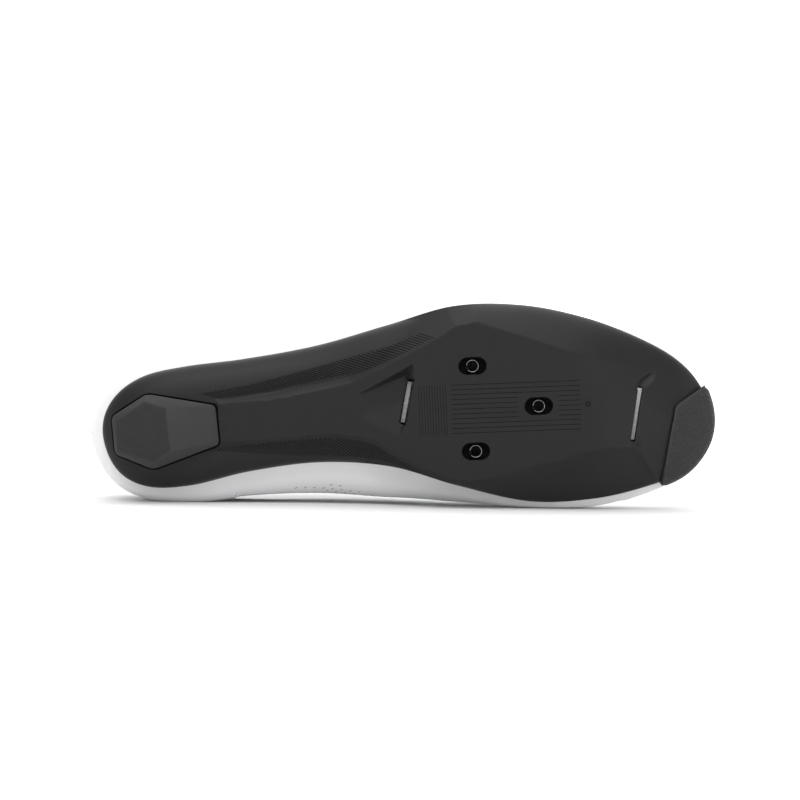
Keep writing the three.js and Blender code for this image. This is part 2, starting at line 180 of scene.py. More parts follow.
side_line = around(sole["lateral"], sole["medial"])
edge_line = around(sole["edge"], sole["edge"])
out_line = around(upper["out_lateral"], upper["out_medial"])
box_line = around(upper["boxy"], upper["boxy"])
widest_line = around(upper["widest"], upper["widest"])
bed_height = curve(sole["x"], sole["bed"])
keel_height = curve(sole["x"], sole["keel"])
sole_boxy = curve(sole["x"], sole["boxy"])
middle_y = curve(sole["x"], (sole["lateral"] + sole["medial"]) / 2)
crest_y = curve(crest["x"], crest["y"])
crest_z = curve(crest["x"], crest["z"])


def outline(angle, out=0.0):
    """Point of the sole's outline, moved out by some millimetres square to it."""
    step = 0.01
    dx = SOLE_LENGTH * (along_of(angle + step) - along_of(angle - step))
    dy = side_line(angle + step) - side_line(angle - step)
    size = np.hypot(dx, dy)
    return SOLE_LENGTH * along_of(angle) + dy / size * out, side_line(angle) - dx / size * out


def plan_point(angle, share, out=0.0):
    """Place between the sole's middle line and its outline."""
    x, y = outline(angle, out)
    spine_x = lerp(*SPINE, along_of(angle))
    return lerp(spine_x, x, share), lerp(middle_y(spine_x), y, share)


def underside(angle, share):
    x = plan_point(angle, share)[0]
    boxy = sole_boxy(x)
    edge = edge_line(angle)
    return edge - (edge - keel_height(x)) * (1 - np.clip(share, 0, 1) ** boxy) ** (1 / boxy)


def footbed(angle, share):
    x = plan_point(angle, share)[0]
    return lerp(bed_height(x), edge_line(angle) + RIM_HEIGHT, share ** DISH)


def place_on_sole(x, y, out=0.0):
    """Angle and share of plan points, found by halving the range of the angle."""
    inner_side = y > middle_y(x)
    low = np.zeros_like(x)
    high = np.full_like(x, np.pi)
    for halving in range(36):
        half = (low + high) / 2
        angle = np.where(inner_side, 2 * np.pi - half, half)
        end_x, end_y = outline(angle, out)
        start_x = lerp(*SPINE, along_of(angle))
        start_y = middle_y(start_x)
        turn = (end_x - start_x) * (y - start_y) - (end_y - start_y) * (x - start_x)
        ahead = np.where(inner_side, -turn, turn) > 0
        low = np.where(ahead, half, low)
        high = np.where(ahead, high, half)
    share = np.hypot(x - start_x, y - start_y) / np.hypot(end_x - start_x, end_y - start_y)
    return angle, share


def upper_point(angle, level, out):
    """Point of the upper's form: level 0 at its foot line, 1 at the crest of the last."""
    foot = edge_line(angle) + RIM_HEIGHT + FIT
    top = lerp(crest["x"][0], crest["x"][-1], along_of(angle))
    height = crest_z(top) + out
    widest = (widest_line(angle) - foot) / (height - foot)
    boxy = box_line(angle)
    low_turn = np.sqrt(1 - (1 - np.clip(level / widest, 0, 1)) ** 2)
    reach = np.clip((level - widest) / (1 - widest), 0, 1)
    inward = 1 - (1 - reach ** boxy) ** (1 / boxy)
    x, y = outline(angle, out - FOOT_INSET + out_line(angle) * low_turn)
    return np.stack([lerp(x, top, inward), lerp(y, crest_y(top), inward), lerp(foot, height, level)], -1)


def wall_at(angle):
    return WALL + HEEL_PADDING * np.maximum(0, 1 - along_of(angle) / PADDED_SHARE)


def distance_to(x, y, points, closed=False):
    """Shortest way in plan from each point to a chain of straight pieces."""
    chain = np.array(points, float)
    if closed:
        chain = np.vstack([chain, chain[:1]])
    best = np.full(np.shape(x), 1e9)
    for (ax, ay), (bx, by) in zip(chain[:-1], chain[1:]):
        size = (bx - ax) ** 2 + (by - ay) ** 2
        share = np.clip(((x - ax) * (bx - ax) + (y - ay) * (by - ay)) / size, 0, 1)
        best = np.minimum(best, np.hypot(x - ax - share * (bx - ax), y - ay - share * (by - ay)))
    return best


def inside(x, y, points):
    """True for points within a closed outline."""
    odd = np.zeros(np.shape(x), bool)
    chain = np.array(points, float)
    for (ax, ay), (bx, by) in zip(chain, np.roll(chain, -1, 0)):
        if ay != by:
            odd ^= ((ay > y) != (by > y)) & (x < (bx - ax) * (y - ay) / (by - ay) + ax)
    return odd


def outside_distance(x, y, points):
    return np.where(inside(x, y, points), 0, distance_to(x, y, points, closed=True))


def stepped(points, spacing, closed=False):
    """The same line with points about every spacing."""
    chain = [np.array(point, float) for point in points]
    if closed:
        chain.append(chain[0])
    made = []
    for start, end in zip(chain[:-1], chain[1:]):
        count = max(1, round(np.linalg.norm(end - start) / spacing))
        made += [lerp(start, end, step / count) for step in range(count)]
    if not closed:
        made.append(chain[-1])
    return np.array(made)


def rounded(points, radius, steps=6):
    """A closed outline with an arc of about that radius in each corner."""
    chain = [np.array(point, float) for point in points]
    made = []
    for before, corner, after in zip(chain[-1:] + chain[:-1], chain, chain[1:] + chain[:1]):
        back = (before - corner) / np.linalg.norm(before - corner)
        on = (after - corner) / np.linalg.norm(after - corner)
        start = corner + back * radius
        end = corner + on * radius
        for step in range(steps + 1):
            t = step / steps
            made.append((1 - t) ** 2 * start + 2 * t * (1 - t) * corner + t * t * end)
    return np.array(made)


def grown(points, by):
    """A closed outline moved out evenly; it runs towards positive turns."""
    chain = np.array(points, float)
    run = np.roll(chain, -1, 0) - np.roll(chain, 1, 0)
    run /= np.linalg.norm(run, axis=1)[:, None]
    turned = np.stack([run[:, 1], -run[:, 0]], 1)
    area = np.sum(chain[:, 0] * np.roll(chain[:, 1], -1) - np.roll(chain[:, 0], -1) * chain[:, 1])
    return chain + turned * by * np.sign(area)


# Lines of the tread, in plan
BLOCK = [
    (48.9, -6.2), (70.4, -7.0), (87.1, -9.6), (103.7, -12.6), (118.7, -18.2), (132.2, -25.0),
    (141.0, -29.8), (148.2, -34.2), (156.2, -35.6), (174.2, -29.2), (189.5, -23.5), (202.5, -19.3),
    (210.6, -17.9), (236.0, -14.0), (236.0, 20.0), (209.3, 17.9), (197.6, 19.9), (188.6, 22.4),
    (176.2, 24.8), (164.4, 26.2), (151.5, 29.6), (143.0, 28.4), (130.3, 22.5), (119.1, 15.5),
    (111.1, 10.6), (94.6, 7.9), (78.0, 8.8), (65.6, 9.4), (49.1, 9.6),
]
BLOCK_HEIGHT = curve(
    (44, 60, 90, 105, 112, 128, 138, 146, 198, 207, 214, 222, 232, 238),
    (7.0, 7.9, 8.0, 7.2, 5.8, 1.9, 0.25, 0, 0, 0.5, 2.4, 5.2, 9.0, 13.0),
)
GROOVE_LATERAL_IN = curve(
    (41, 49, 66, 87, 104, 120, 132, 142), (-10.7, -7.6, -9.3, -12.2, -15.3, -20.6, -26.2, -30.8),
)
GROOVE_LATERAL_OUT = curve(
    (41, 62, 83, 104, 121, 133, 142), (-10.9, -13.9, -18.5, -23.5, -27.6, -32.0, -35.0),
)
GROOVE_MEDIAL_IN = curve(
    (49, 66, 86, 99, 111, 119, 130, 138), (11.8, 10.6, 9.6, 9.8, 12.4, 17.0, 23.6, 26.6),
)
GROOVE_MEDIAL_OUT = curve((49, 78, 102, 119, 130, 138), (13.4, 16.2, 17.6, 20.9, 25.4, 28.2))
GROOVE_DEPTH = curve((40, 54, 80, 104, 122, 134, 142, 150), (0, 0.9, 1.7, 2.2, 2.1, 1.5, 0.7, 0))
HOLLOW = [
    (106.9, -8.0), (111.1, -9.9), (130.4, -19.6), (129.6, -13.0),
    (125.4, 6.0), (123.2, 10.6), (112.0, 5.0), (106.5, 2.2),
]
VENTS = {
    "vent_mesh_mid": [(127.2, -12.7), (129.5, -13.1), (125.3, 5.9), (123.2, 4.4)],
    "vent_mesh_toe": [(222.5, -6.8), (224.1, -5.8), (219.9, 16.4), (218.1, 15.9)],
}
TOE_DENT = [(223.9, -8.3), (226.4, -10.1), (230.4, -12.2)]
TOE_RIDGE = [(220.2, 18.2), (224.3, 24.0), (229.4, 32.0)]
PAD_RIM_LINE = rounded([
    (5.6, -2.7, 0.7), (20.1, -11.4, 1.5), (47.8, -5.7, 6.1),
    (48.8, 10.5, 6.4), (21.5, 19.6, 3.2), (6.4, 12.6, 1.0),
], 2.0)
PAD_LINE = PAD_RIM_LINE[:, :2]
PAD_FACE = [(6.8, -1.2), (19.2, -8.5), (28.3, -5.6), (29.6, 12.6), (21.9, 17.2), (7.4, 12.0)]
PAD_RAMP = [(46.2, -4.6), (46.9, 9.4)]
PAD_RAMP_HEIGHT = 5.5
PAD_SEAT = 11.4
PAD_SEAT_SLOPE = 0.045
PAD_GAP = 0.7
POCKET_FLOOR = 11.7
POCKET_BACK = 1.1
BUMPER_BACK = [(255.0, -7.7), (240.6, 0.9), (239.2, 2.2), (238.4, 4.4), (231.6, 35.2), (231.0, 38.4)]
BUMPER_PROUD = 1.5
BUMPER_OUT = 2.4
BUMPER_SEAT = 0.42
BUMPER_LAP = 1.6
SLOT_LENGTH = 11.4
SLOT_WIDTH = 7.0
SLOT_CHAMFER = 0.25
CLEAT_ASIDE = 17.5
CLEAT_AHEAD = 26.5
CLEAT_HOLES = [(CLEAT_X, -CLEAT_ASIDE), (CLEAT_X, CLEAT_ASIDE), (CLEAT_X + CLEAT_AHEAD, 0.0)]
PLATE = [(CLEAT_X + x, y) for x, y in ((-7, -24), (8, -24), (33, -6), (35, 0), (33, 6), (8, 24), (-7, 24))]
PLATE_LOW = 3.8
PLATE_HIGH = 5.4
SLEEVE_LOW = 1.4

# Where the sole's forms change along the shoe: from place to place on the lateral side, then on the medial
BEVEL_CRISP = ((140, 165), (150, 185))
BEVEL_BEGINS = ((147, 174), (137, 160))
BEVEL_STRAIGHT = (0.6, 0.78)
BEVEL_HOLLOWED = (166, 192)
TOE_BEGINS = ((188, 230), (208, 236))


def groove(x, y, inner, outer, spread):
    """Depth of a groove whose floor is beside the block and whose wall climbs to the flank."""
    wide = np.abs(outer(x) - inner(x)) + 0.01
    share = np.sign(spread) * (y - inner(x)) / wide
    wall = np.clip(1 - share, 0, 1)
    soft = wall - 0.1 * np.sin(2 * np.pi * wall) * (wall < 1)
    return GROOVE_DEPTH(x) * np.where(share < 0, 1, soft)


def hollow_depth(x, y):
    """Depth of the hollow in front of the arch, between its four walls."""
    rear, upper_wall, lower_wall, front = (
        distance_to(x, y, wall) for wall in ([HOLLOW[-1], HOLLOW[0]], HOLLOW[0:3], HOLLOW[5:8], HOLLOW[2:6])
    )
    sink = 0.9 * (1 - np.exp(-rear / 2.2)) + 0.16 * rear
    sink = soft_min(soft_min(sink, 1.5 * upper_wall, 0.8), 0.25 * lower_wall, 0.9)
    sink = soft_min(sink, 1.2 * front + np.where(np.abs(y + 3.5) < 9.6, 9, 0), 0.5)
    return np.where(inside(x, y, HOLLOW), np.maximum(sink, 0), 0)


def by_side(x, lateral_share, ranges):
    """A smooth step along the shoe whose range goes over from the lateral to the medial one."""
    lateral, inner = (smooth_step(*ends, x) for ends in ranges)
    return lerp(inner, lateral, lateral_share)


def sole_height(x, y, angle, share):
    """Height of the finished underside: flanks, grooves, tread block, hollow and toe face."""
    base = underside(angle, share)
    lateral_side = y < middle_y(x)
    deep = np.where(
        lateral_side,
        groove(x, y, GROOVE_LATERAL_IN, GROOVE_LATERAL_OUT, -1),
        groove(x, y, GROOVE_MEDIAL_IN, GROOVE_MEDIAL_OUT, 1),
    )
    deep *= 1 - smooth_step(0.86, 0.97, share)
    away = outside_distance(x, y, BLOCK)
    top = BLOCK_HEIGHT(x)
    height = soft_min(base + deep, top + 0.9 * away, lerp(0.7, 5.0, smooth_step(192, 216, x)))

    # The bevels beside the ball run straight from the block to the edge
    end_x, end_y = outline(angle)
    part = away / (away + np.hypot(end_x - x, end_y - y) + 1e-6)
    crisp = by_side(x, lateral_side, BEVEL_CRISP)
    straight = np.where(lateral_side, *BEVEL_STRAIGHT)
    bowed = 1 - np.sqrt(np.maximum(1 - part ** 3, 0))
    rise = straight * part ** lerp(2.2, 1.1, crisp) + (1 - straight) * bowed
    rise = np.where(lateral_side, rise, lerp(rise, part ** 0.8, smooth_step(*BEVEL_HOLLOWED, x)))
    bevel = np.where(away > 0, lerp(top, edge_line(angle), rise), top)
    height = lerp(height, bevel, by_side(x, lateral_side, BEVEL_BEGINS))

    # The toe goes back to the plain form, sooner on the outer side
    lateral_share = 1 - smooth_step(-14, 14, y - middle_y(x))
    height = lerp(height, base, by_side(x, lateral_share, TOE_BEGINS))
    dent_width = np.where(y < -8.3 - 0.6 * (x - 223.9), 0.8, 2.2)
    dent = 1.7 * np.exp(-(distance_to(x, y, TOE_DENT) / dent_width) ** 2) * (1 - smooth_step(226.4, 231, x))
    ridge = 0.8 * np.exp(-(distance_to(x, y, TOE_RIDGE) / 1.6) ** 2)
    return height + hollow_depth(x, y) + dent - ridge


def unit(vectors):
    return vectors / np.linalg.norm(vectors, axis=-1, keepdims=True)


def at_height(plan, z):
    """Plan points with one height for all, or one each."""
    return np.column_stack([plan, np.broadcast_to(z, len(plan))])


def ring(x, y, radius, z, turns):
    return np.column_stack([x + radius * np.cos(turns), y + radius * np.sin(turns), np.full(len(turns), z)])


def stadium(x, y, length, width, steps=18):
    half = (length - width) / 2
    turn = np.linspace(-np.pi / 2, np.pi / 2, steps)
    right = np.stack([half + width / 2 * np.cos(turn), width / 2 * np.sin(turn)], 1)
    return np.vstack([right, -right]) + (x, y)


def within(plan, border, holes):
    """True for plan points inside the border and outside every hole."""
    keep = inside(*plan.T, border)
    for hole in holes:
        keep &= ~inside(*plan.T, hole)
    return keep


def plan_sheet(border, holes, spacing, creases=(), rows=()):
    """Triangles over a plan outline with holes; creases become edges. Rows are extra loose points."""
    points = []
    edges = []
    for lines, closed in (([border, *holes], 1), (creases, 0)):
        for line in lines:
            start = len(points)
            count = len(line)
            points += list(line)
            edges += [(start + at, start + (at + 1) % count) for at in range(count - 1 + closed)]
    points += [point for row in rows for point in row]
    low = border.min(0)
    high = border.max(0)
    grid = []
    for index, y in enumerate(np.arange(low[1], high[1], spacing * math.sqrt(0.75))):
        x = np.arange(low[0] + (index % 2) * spacing / 2, high[0], spacing)
        grid.append(np.stack([x, np.full_like(x, y)], 1))
    grid = np.vstack(grid)

    def cell(point):
        return round(point[0] / spacing), round(point[1] / spacing)

    taken = {cell(point) for point in points}
    points += [point for point in grid[within(grid, border, holes)] if cell(point) not in taken]
    made = delaunay_2d_cdt([Vector((float(x), float(y))) for x, y in points], edges, [], 0, 1e-5)
    plan = np.array([tuple(point) for point in made[0]])
    faces = np.array([tuple(face) for face in made[2]])
    keep = within(plan[faces].mean(1), border, holes)
    return plan, [tuple(face) for face in faces[keep].tolist()]


def bands(rows, closed=True):
    """Points and faces of a grid: rows of the same number of points, one next to the other."""
    count = len(rows[0])
    faces = []
    for row in range(len(rows) - 1):
        for at in range(count if closed else count - 1):
            on = (at + 1) % count
            low = row * count
            faces.append((low + at, low + count + at, low + count + on, low + on))
    return np.vstack(rows), faces


def closed_tube(rows):
    """Bands with a flat face at either end."""
    points, faces = bands(rows)
    count = len(rows[0])
    last = len(points) - count
    return points, [*faces, tuple(range(count)), tuple(last + at for at in reversed(range(count)))]


def link(obj):
    bpy.context.scene.collection.objects.link(obj)
    return obj


def mesh_piece(name, patches, finishes, sharp):
    """One closed mesh from patches of (points, faces, finish number), in shoe millimetres."""
    points = []
    faces = []
    numbers = []
    start = 0
    for patch_points, patch_faces, *number in patches:
        points.append(patch_points)
        faces += [tuple(corner + start for corner in face) for face in patch_faces]
        numbers += (number or [0]) * len(patch_faces)
        start += len(patch_points)
    mesh = bpy.data.meshes.new(name)
    mesh.from_pydata(laid(np.vstack(points)), [], faces)
    mesh.polygons.foreach_set("material_index", numbers)
    for finish_used in finishes:
        mesh.materials.append(finish_used)
    tidy_mesh(mesh)
    shade(mesh, sharp)
    return link(bpy.data.objects.new(name, mesh))


def tidy_mesh(mesh):
    """Welds points that meet and turns the faces outwards."""
    shape = bmesh.new()
    shape.from_mesh(mesh)
    bmesh.ops.remove_doubles(shape, verts=shape.verts, dist=0.004 * MILLIMETRE)
    bmesh.ops.dissolve_degenerate(shape, edges=shape.edges, dist=0.001 * MILLIMETRE)
    bmesh.ops.recalc_face_normals(shape, faces=shape.faces)
    shape.to_mesh(mesh)
    shape.free()


def shade(mesh, sharp):
    mesh.polygons.foreach_set("use_smooth", [True] * len(mesh.polygons))
    mesh.set_sharp_from_angle(angle=math.radians(sharp))


def thick_skin(outer, inner, faces):
    """Patches of a closed skin: the same faces twice, joined along their open edges."""
    sides = {}
    for face in faces:
        for a, b in zip(face, (*face[1:], face[0])):
            key = (min(a, b), max(a, b))
            sides[key] = None if key in sides else (a, b)
    count = len(outer)
    rim = [(side[1], side[0], side[0] + count, side[1] + count) for side in sides.values() if side]
    back = [tuple(corner + count for corner in reversed(face)) for face in faces]
    return [(np.vstack([outer, inner]), [*faces, *back, *rim])]


def finished(piece, slot, *nodes):
    """Hangs the piece under the root body and hides the imported parts that it stands for; the slot is not
    used.
    """
    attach(piece, "root")
    if nodes:
        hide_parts(*nodes)


def feed(node, inputs):
    """Gives each input its value, or links it to the output that feeds it."""
    for label, value in inputs.items():
        if isinstance(value, bpy.types.NodeSocket):
            node.id_data.links.new(value, node.inputs[label])
        else:
            node.inputs[label].default_value = value


def add_node(tree, kind, inputs=None, **settings):
    node = tree.nodes.new(kind)
    for label, value in settings.items():
        setattr(node, label, value)
    feed(node, inputs or {})
    return node


# Node trees that repeat shapes
def new_tree(name, **sockets):
    """A tree with geometry, the named sockets and a finish going in, and its group input's outputs."""
    tree = bpy.data.node_groups.new(name, "GeometryNodeTree")
    tree.is_modifier = True
    for label, kind in {"Geometry": "Geometry", **sockets, "Finish": "Material"}.items():
        tree.interface.new_socket(label, in_out="INPUT", socket_type="NodeSocket" + kind)
    tree.interface.new_socket("Geometry", in_out="OUTPUT", socket_type="NodeSocketGeometry")
    return tree, add_node(tree, "NodeGroupInput").outputs


def chain_end(tree, geometry, finish_socket):
    """Realizes the instances, sets the material and closes the tree."""
    real = add_node(tree, "GeometryNodeRealizeInstances", {"Geometry": geometry})
    paint = add_node(tree, "GeometryNodeSetMaterial", {
        "Geometry": real.outputs["Geometry"], "Material": finish_socket,
    })
    add_node(tree, "NodeGroupOutput", {"Geometry": paint.outputs["Geometry"]})
    return tree


def bars_tree():
    """Round bars along lines: painted groove shade lines of the hatch and the cleat guide, threads and
    bindings.
    """
    tree, start = new_tree("bars along lines", Radius="Float", Sides="Int")
    lines = add_node(tree, "GeometryNodeMeshToCurve", {"Mesh": start["Geometry"]})
    section = add_node(tree, "GeometryNodeCurvePrimitiveCircle", {
        "Radius": start["Radius"], "Resolution": start["Sides"],
    })
    sweep = add_node(tree, "GeometryNodeCurveToMesh", {
        "Fill Caps": True, "Curve": lines.outputs["Curve"], "Profile Curve": section.outputs["Curve"],
    })
    return chain_end(tree, sweep.outputs["Mesh"], start["Finish"])


def shapes_tree():
    """One small shape on each point, its z along the point's facing and its x along the point's run."""
    tree, start = new_tree("shapes on points", Shape="Object")
    shape = add_node(tree, "GeometryNodeObjectInfo", {"Object": start["Shape"]})
    turned = {}
    for attribute, axis, pivot in (("facing", "Z", "AUTO"), ("run", "X", "Z")):
        named = add_node(tree, "GeometryNodeInputNamedAttribute", {
            "Name": attribute,
        }, data_type="FLOAT_VECTOR")
        align = add_node(tree, "FunctionNodeAlignRotationToVector", {
            "Vector": named.outputs["Attribute"], **turned,
        }, axis=axis, pivot_axis=pivot)
        turned = {"Rotation": align.outputs["Rotation"]}
    copies = add_node(tree, "GeometryNodeInstanceOnPoints", {
        "Points": start["Geometry"], "Instance": shape.outputs["Geometry"], **turned,
    })
    return chain_end(tree, copies.outputs["Instances"], start["Finish"])


BARS = bars_tree()
SHAPES = shapes_tree()


def applied(piece, modifier, sharp):
    """The piece with its modifier's result as its own plain mesh."""
    made = bpy.data.meshes.new_from_object(piece.evaluated_get(bpy.context.evaluated_depsgraph_get()))
    piece.modifiers.remove(modifier)
    piece.data = made
    shade(made, sharp)
    return piece


def from_tree(name, mesh, tree, values, sharp=50):
    piece = link(bpy.data.objects.new(name, mesh))
    modifier = piece.modifiers.new("repeat", "NODES")
    modifier.node_group = tree
    for socket in tree.interface.items_tree:
        if socket.in_out == "INPUT" and socket.name in values:
            modifier[socket.identifier] = values[socket.name]
    return applied(piece, modifier, sharp)


def bars(name, lines, radius, sides, finish_used):
    """Bars of that radius in millimetres along lines of shoe points."""
    mesh = bpy.data.meshes.new(name)
    edges = []
    count = 0
    for line in lines:
        edges += [(count + at, count + at + 1) for at in range(len(line) - 1)]
        count += len(line)
    mesh.from_pydata(laid(np.vstack(lines)), edges, [])
    values = {"Radius": radius * MILLIMETRE, "Sides": sides, "Finish": finish_used}
    return from_tree(name, mesh, BARS, values)


def repeats(name, points, facing, run, shape, finish_used, sharp=30):
    """A small shape, given as (points, faces) in millimetres, on each point."""
    mesh = bpy.data.meshes.new(name)
    mesh.from_pydata(laid(points), [], [])
    for label, rows in (("facing", facing), ("run", run)):
        rows = np.broadcast_to(np.asarray(rows, float), np.shape(points)) @ shoe_axes
        mesh.attributes.new(label, "FLOAT_VECTOR", "POINT").data.foreach_set("vector", rows.ravel())
    pattern = bpy.data.meshes.new(name + "_shape")
    pattern.from_pydata(shape[0] * MILLIMETRE, [], shape[1])
    tidy_mesh(pattern)
    holder = link(bpy.data.objects.new(name + "_shape", pattern))
    piece = from_tree(name, mesh, SHAPES, {"Shape": holder, "Finish": finish_used}, sharp)
    bpy.data.objects.remove(holder)
    return piece


def pyramid(width, height, sink=0.15):
    """One blunt four-sided point of the crosshatch."""
    turns = np.arange(4) * math.pi / 2
    return closed_tube([ring(0, 0, width / 2, -sink, turns), ring(0, 0, width * 0.11, height, turns)])


def capsule(length, width, height, sides=8):
    """A stitch: a low rounded grain of thread."""
    turns = np.arange(sides) * 2 * math.pi / sides
    rows = []
    for share in (-0.5, -0.44, -0.25, 0, 0.25, 0.44, 0.5):
        size = math.sqrt(1 - (share / 0.5) ** 4) + 0.02
        place = np.full(sides, share * length)
        across = width / 2 * size * np.cos(turns)
        rows.append(np.column_stack([place, across, height * size * np.sin(turns)]))
    return closed_tube(rows)


def slit(length, width):
    """A short punched slit: a dished dark strip with round ends."""
    return closed_tube([
        at_height(stadium(0, 0, length - 2 * inset, width - 2 * inset, 6), z)
        for inset, z in ((0.0, -0.3), (0.0, 0.05), (0.12, 0.02))
    ])


# Finishes
def shader_group(name, **inputs):
    """A group with a vector and the named numbers in, a height and a tone out, and its input's outputs."""
    group = bpy.data.node_groups.new(name, "ShaderNodeTree")
    group.interface.new_socket("Vector", in_out="INPUT", socket_type="NodeSocketVector")
    for label, value in inputs.items():
        socket = group.interface.new_socket(label, in_out="INPUT", socket_type="NodeSocketFloat")
        socket.default_value = value
    for label in ("Height", "Tone"):
        group.interface.new_socket(label, in_out="OUTPUT", socket_type="NodeSocketFloat")
    return group, add_node(group, "NodeGroupInput").outputs


def math_node(tree, operation, *values):
    return add_node(tree, "ShaderNodeMath", dict(enumerate(values)), operation=operation).outputs[0]


def swing(tree, value, amount):
    """A value around a half turned into a change of that amount around nought."""
    return math_node(tree, "MULTIPLY", math_node(tree, "SUBTRACT", value, 0.5), amount)


def grain_group():
    """Fine moulded or leather grain: a height, and a tone around 1 that also drifts over large patches."""
    group, start = shader_group("grain", Fineness=1500.0, Drift=40.0, Speckle=0.1, Patches=0.05)
    fine = add_node(group, "ShaderNodeTexNoise", {
        "Vector": start["Vector"], "Scale": start["Fineness"], "Detail": 3.0, "Roughness": 0.6,
    })
    broad = add_node(group, "ShaderNodeTexNoise", {
        "Vector": start["Vector"], "Scale": start["Drift"], "Detail": 2.0,
    })
    spots = swing(group, fine.outputs["Fac"], start["Speckle"])
    patches = swing(group, broad.outputs["Fac"], start["Patches"])
    tone = math_node(group, "ADD", math_node(group, "ADD", spots, patches), 1.0)
    add_node(group, "NodeGroupOutput", {"Height": fine.outputs["Fac"], "Tone": tone})
    return group


def weave_group():
    """Plain weave: threads over and under each other, as a height and a tone."""
    group, start = shader_group("weave", Threads=6000.0, Contrast=0.3)
    parts = add_node(group, "ShaderNodeSeparateXYZ", {0: start["Vector"]})
    waves = [
        math_node(group, "SINE", math_node(group, "MULTIPLY", parts.outputs[axis], start["Threads"]))
        for axis in ("X", "Z")
    ]
    over = math_node(group, "MULTIPLY", *waves)
    height = math_node(group, "ADD", math_node(group, "MULTIPLY", over, 0.5), 0.5)
    tone = math_node(group, "ADD", swing(group, height, start["Contrast"]), 1.0)
    add_node(group, "NodeGroupOutput", {"Height": height, "Tone": tone})
    return group


GRAIN = grain_group()
WEAVE = weave_group()
WEAVE_TURN = math.radians(3.2)


def finish(name, colour, roughness, group, values, depth, strength, specular=0.5, metallic=0.0):
    """A material whose colour and relief come from one of the groups, on object coordinates."""
    material = bpy.data.materials.new(name)
    material.use_nodes = True
    tree = material.node_tree
    where = add_node(tree, "ShaderNodeTexCoord")
    mapping = add_node(tree, "ShaderNodeMapping", {
        "Vector": where.outputs["Object"], "Rotation": (0, WEAVE_TURN if group == WEAVE else 0, 0),
    })
    pattern = add_node(tree, "ShaderNodeGroup", {"Vector": mapping.outputs["Vector"]}, node_tree=group)
    for socket, value in zip(pattern.inputs[1:], values):
        socket.default_value = value
    base = add_node(tree, "ShaderNodeMix", {
        "Factor": 1.0, "A": (*colour, 1), "B": pattern.outputs["Tone"],
    }, data_type="RGBA", blend_type="MULTIPLY")
    bump = add_node(tree, "ShaderNodeBump", {
        "Distance": depth * MILLIMETRE, "Strength": strength, "Height": pattern.outputs["Height"],
    })
    feed(tree.nodes["Principled BSDF"], {
        "Base Color": base.outputs["Result"], "Roughness": roughness, "Specular IOR Level": specular,
        "Metallic": metallic, "Normal": bump.outputs["Normal"],
    })
    return material


def grey(value):
    return (value, value, value * 1.02)


COMPOSITE = finish(
    "moulded black composite", grey(0.011), 0.5, GRAIN, (1700, 30, 0.5, 0.16), 0.05, 0.55, specular=0.25)
RUBBER = finish(
    "grey tread rubber", grey(0.026), 0.62, GRAIN, (2600, 60, 0.3, 0.12), 0.03, 0.4, specular=0.36)
SYNTHETIC = finish(
    "white coated synthetic", (0.80, 0.80, 0.81), 0.42, GRAIN, (2200, 25, 0.05, 0.03), 0.04, 0.25)
LINING = finish("dark knitted lining", grey(0.035), 0.95, WEAVE, (7000, 0.8), 0.2, 0.7)
TONGUE_CLOTH = finish("grey spacer cloth", grey(0.30), 0.9, WEAVE, (4200, 0.5), 0.35, 0.8)
MESH_THREAD = finish("pale vent thread", grey(0.36), 0.8, GRAIN, (3000, 80, 0.3, 0.1), 0.02, 0.4)
STRAP_CLOTH = finish("white strap webbing", (0.66, 0.66, 0.67), 0.75, WEAVE, (5200, 0.16), 0.12, 0.6)
THREAD = finish("pale grey sewing thread", (0.55, 0.55, 0.56), 0.7, GRAIN, (4000, 90, 0.3, 0.1), 0.02, 0.3)
HOLE_DARK = finish("shaded punched hole", (0.34, 0.32, 0.30), 0.9, GRAIN, (2000, 90, 0.2, 0.1), 0.02, 0.3)
# Near-black painted shade for the hatch and guide lines and for the walls and floors of slots, vents and the
# pad pocket.
GROOVE_SHADE = finish("painted groove and recess shade", grey(0.003), 0.9, GRAIN, (2500, 60, 0.3, 0.2), 0.01, 0.2, specular=0.1)
STEEL = finish(
    "bright steel", (0.42, 0.42, 0.43), 0.3, GRAIN, (2500, 200, 0.2, 0.1), 0.01, 0.2, metallic=1.0)
BLACK_STEEL = finish(
    "blackened steel", grey(0.004), 0.8, GRAIN, (2500, 200, 0.3, 0.2), 0.01, 0.2, specular=0.12)


# Sole
def on_underside(plan, lift=0.0):
    """Plan points set on the finished underside."""
    return at_height(plan, sole_height(*plan.T, *place_on_sole(*plan.T)) + lift)


def on_footbed(plan):
    return at_height(plan, footbed(*place_on_sole(*plan.T)))


def on_pad_plane(plan, height):
    """Plan points on the sloping seat of the heel pad, whose height is given at its rear end."""
    plan = np.asarray(plan, float)
    return at_height(plan, height - PAD_SEAT_SLOPE * (plan[:, 0] - 6))


def placed(plan, angles, out=0.0):
    """Angle and share of plan points, the first of which lie on the outline at the angles given."""
    angle, share = place_on_sole(*plan.T, out)
    angle[:len(angles)] = angles
    share[:len(angles)] = 1
    return angle, share


def even_angles(spacing, out=0.0):
    """Angles with an even spacing along the outline."""
    fine = np.linspace(0, 2 * np.pi, 4001)
    x, y = outline(fine, out)
    length = np.concatenate([[0], np.cumsum(np.hypot(np.diff(x), np.diff(y)))])
    count = round(length[-1] / spacing)
    return np.interp(np.arange(count) * length[-1] / count, length, fine)


SOLE_STEP = 0.62
EDGE_SHARES = (0.996, 0.988, 0.976, 0.96, 0.94)


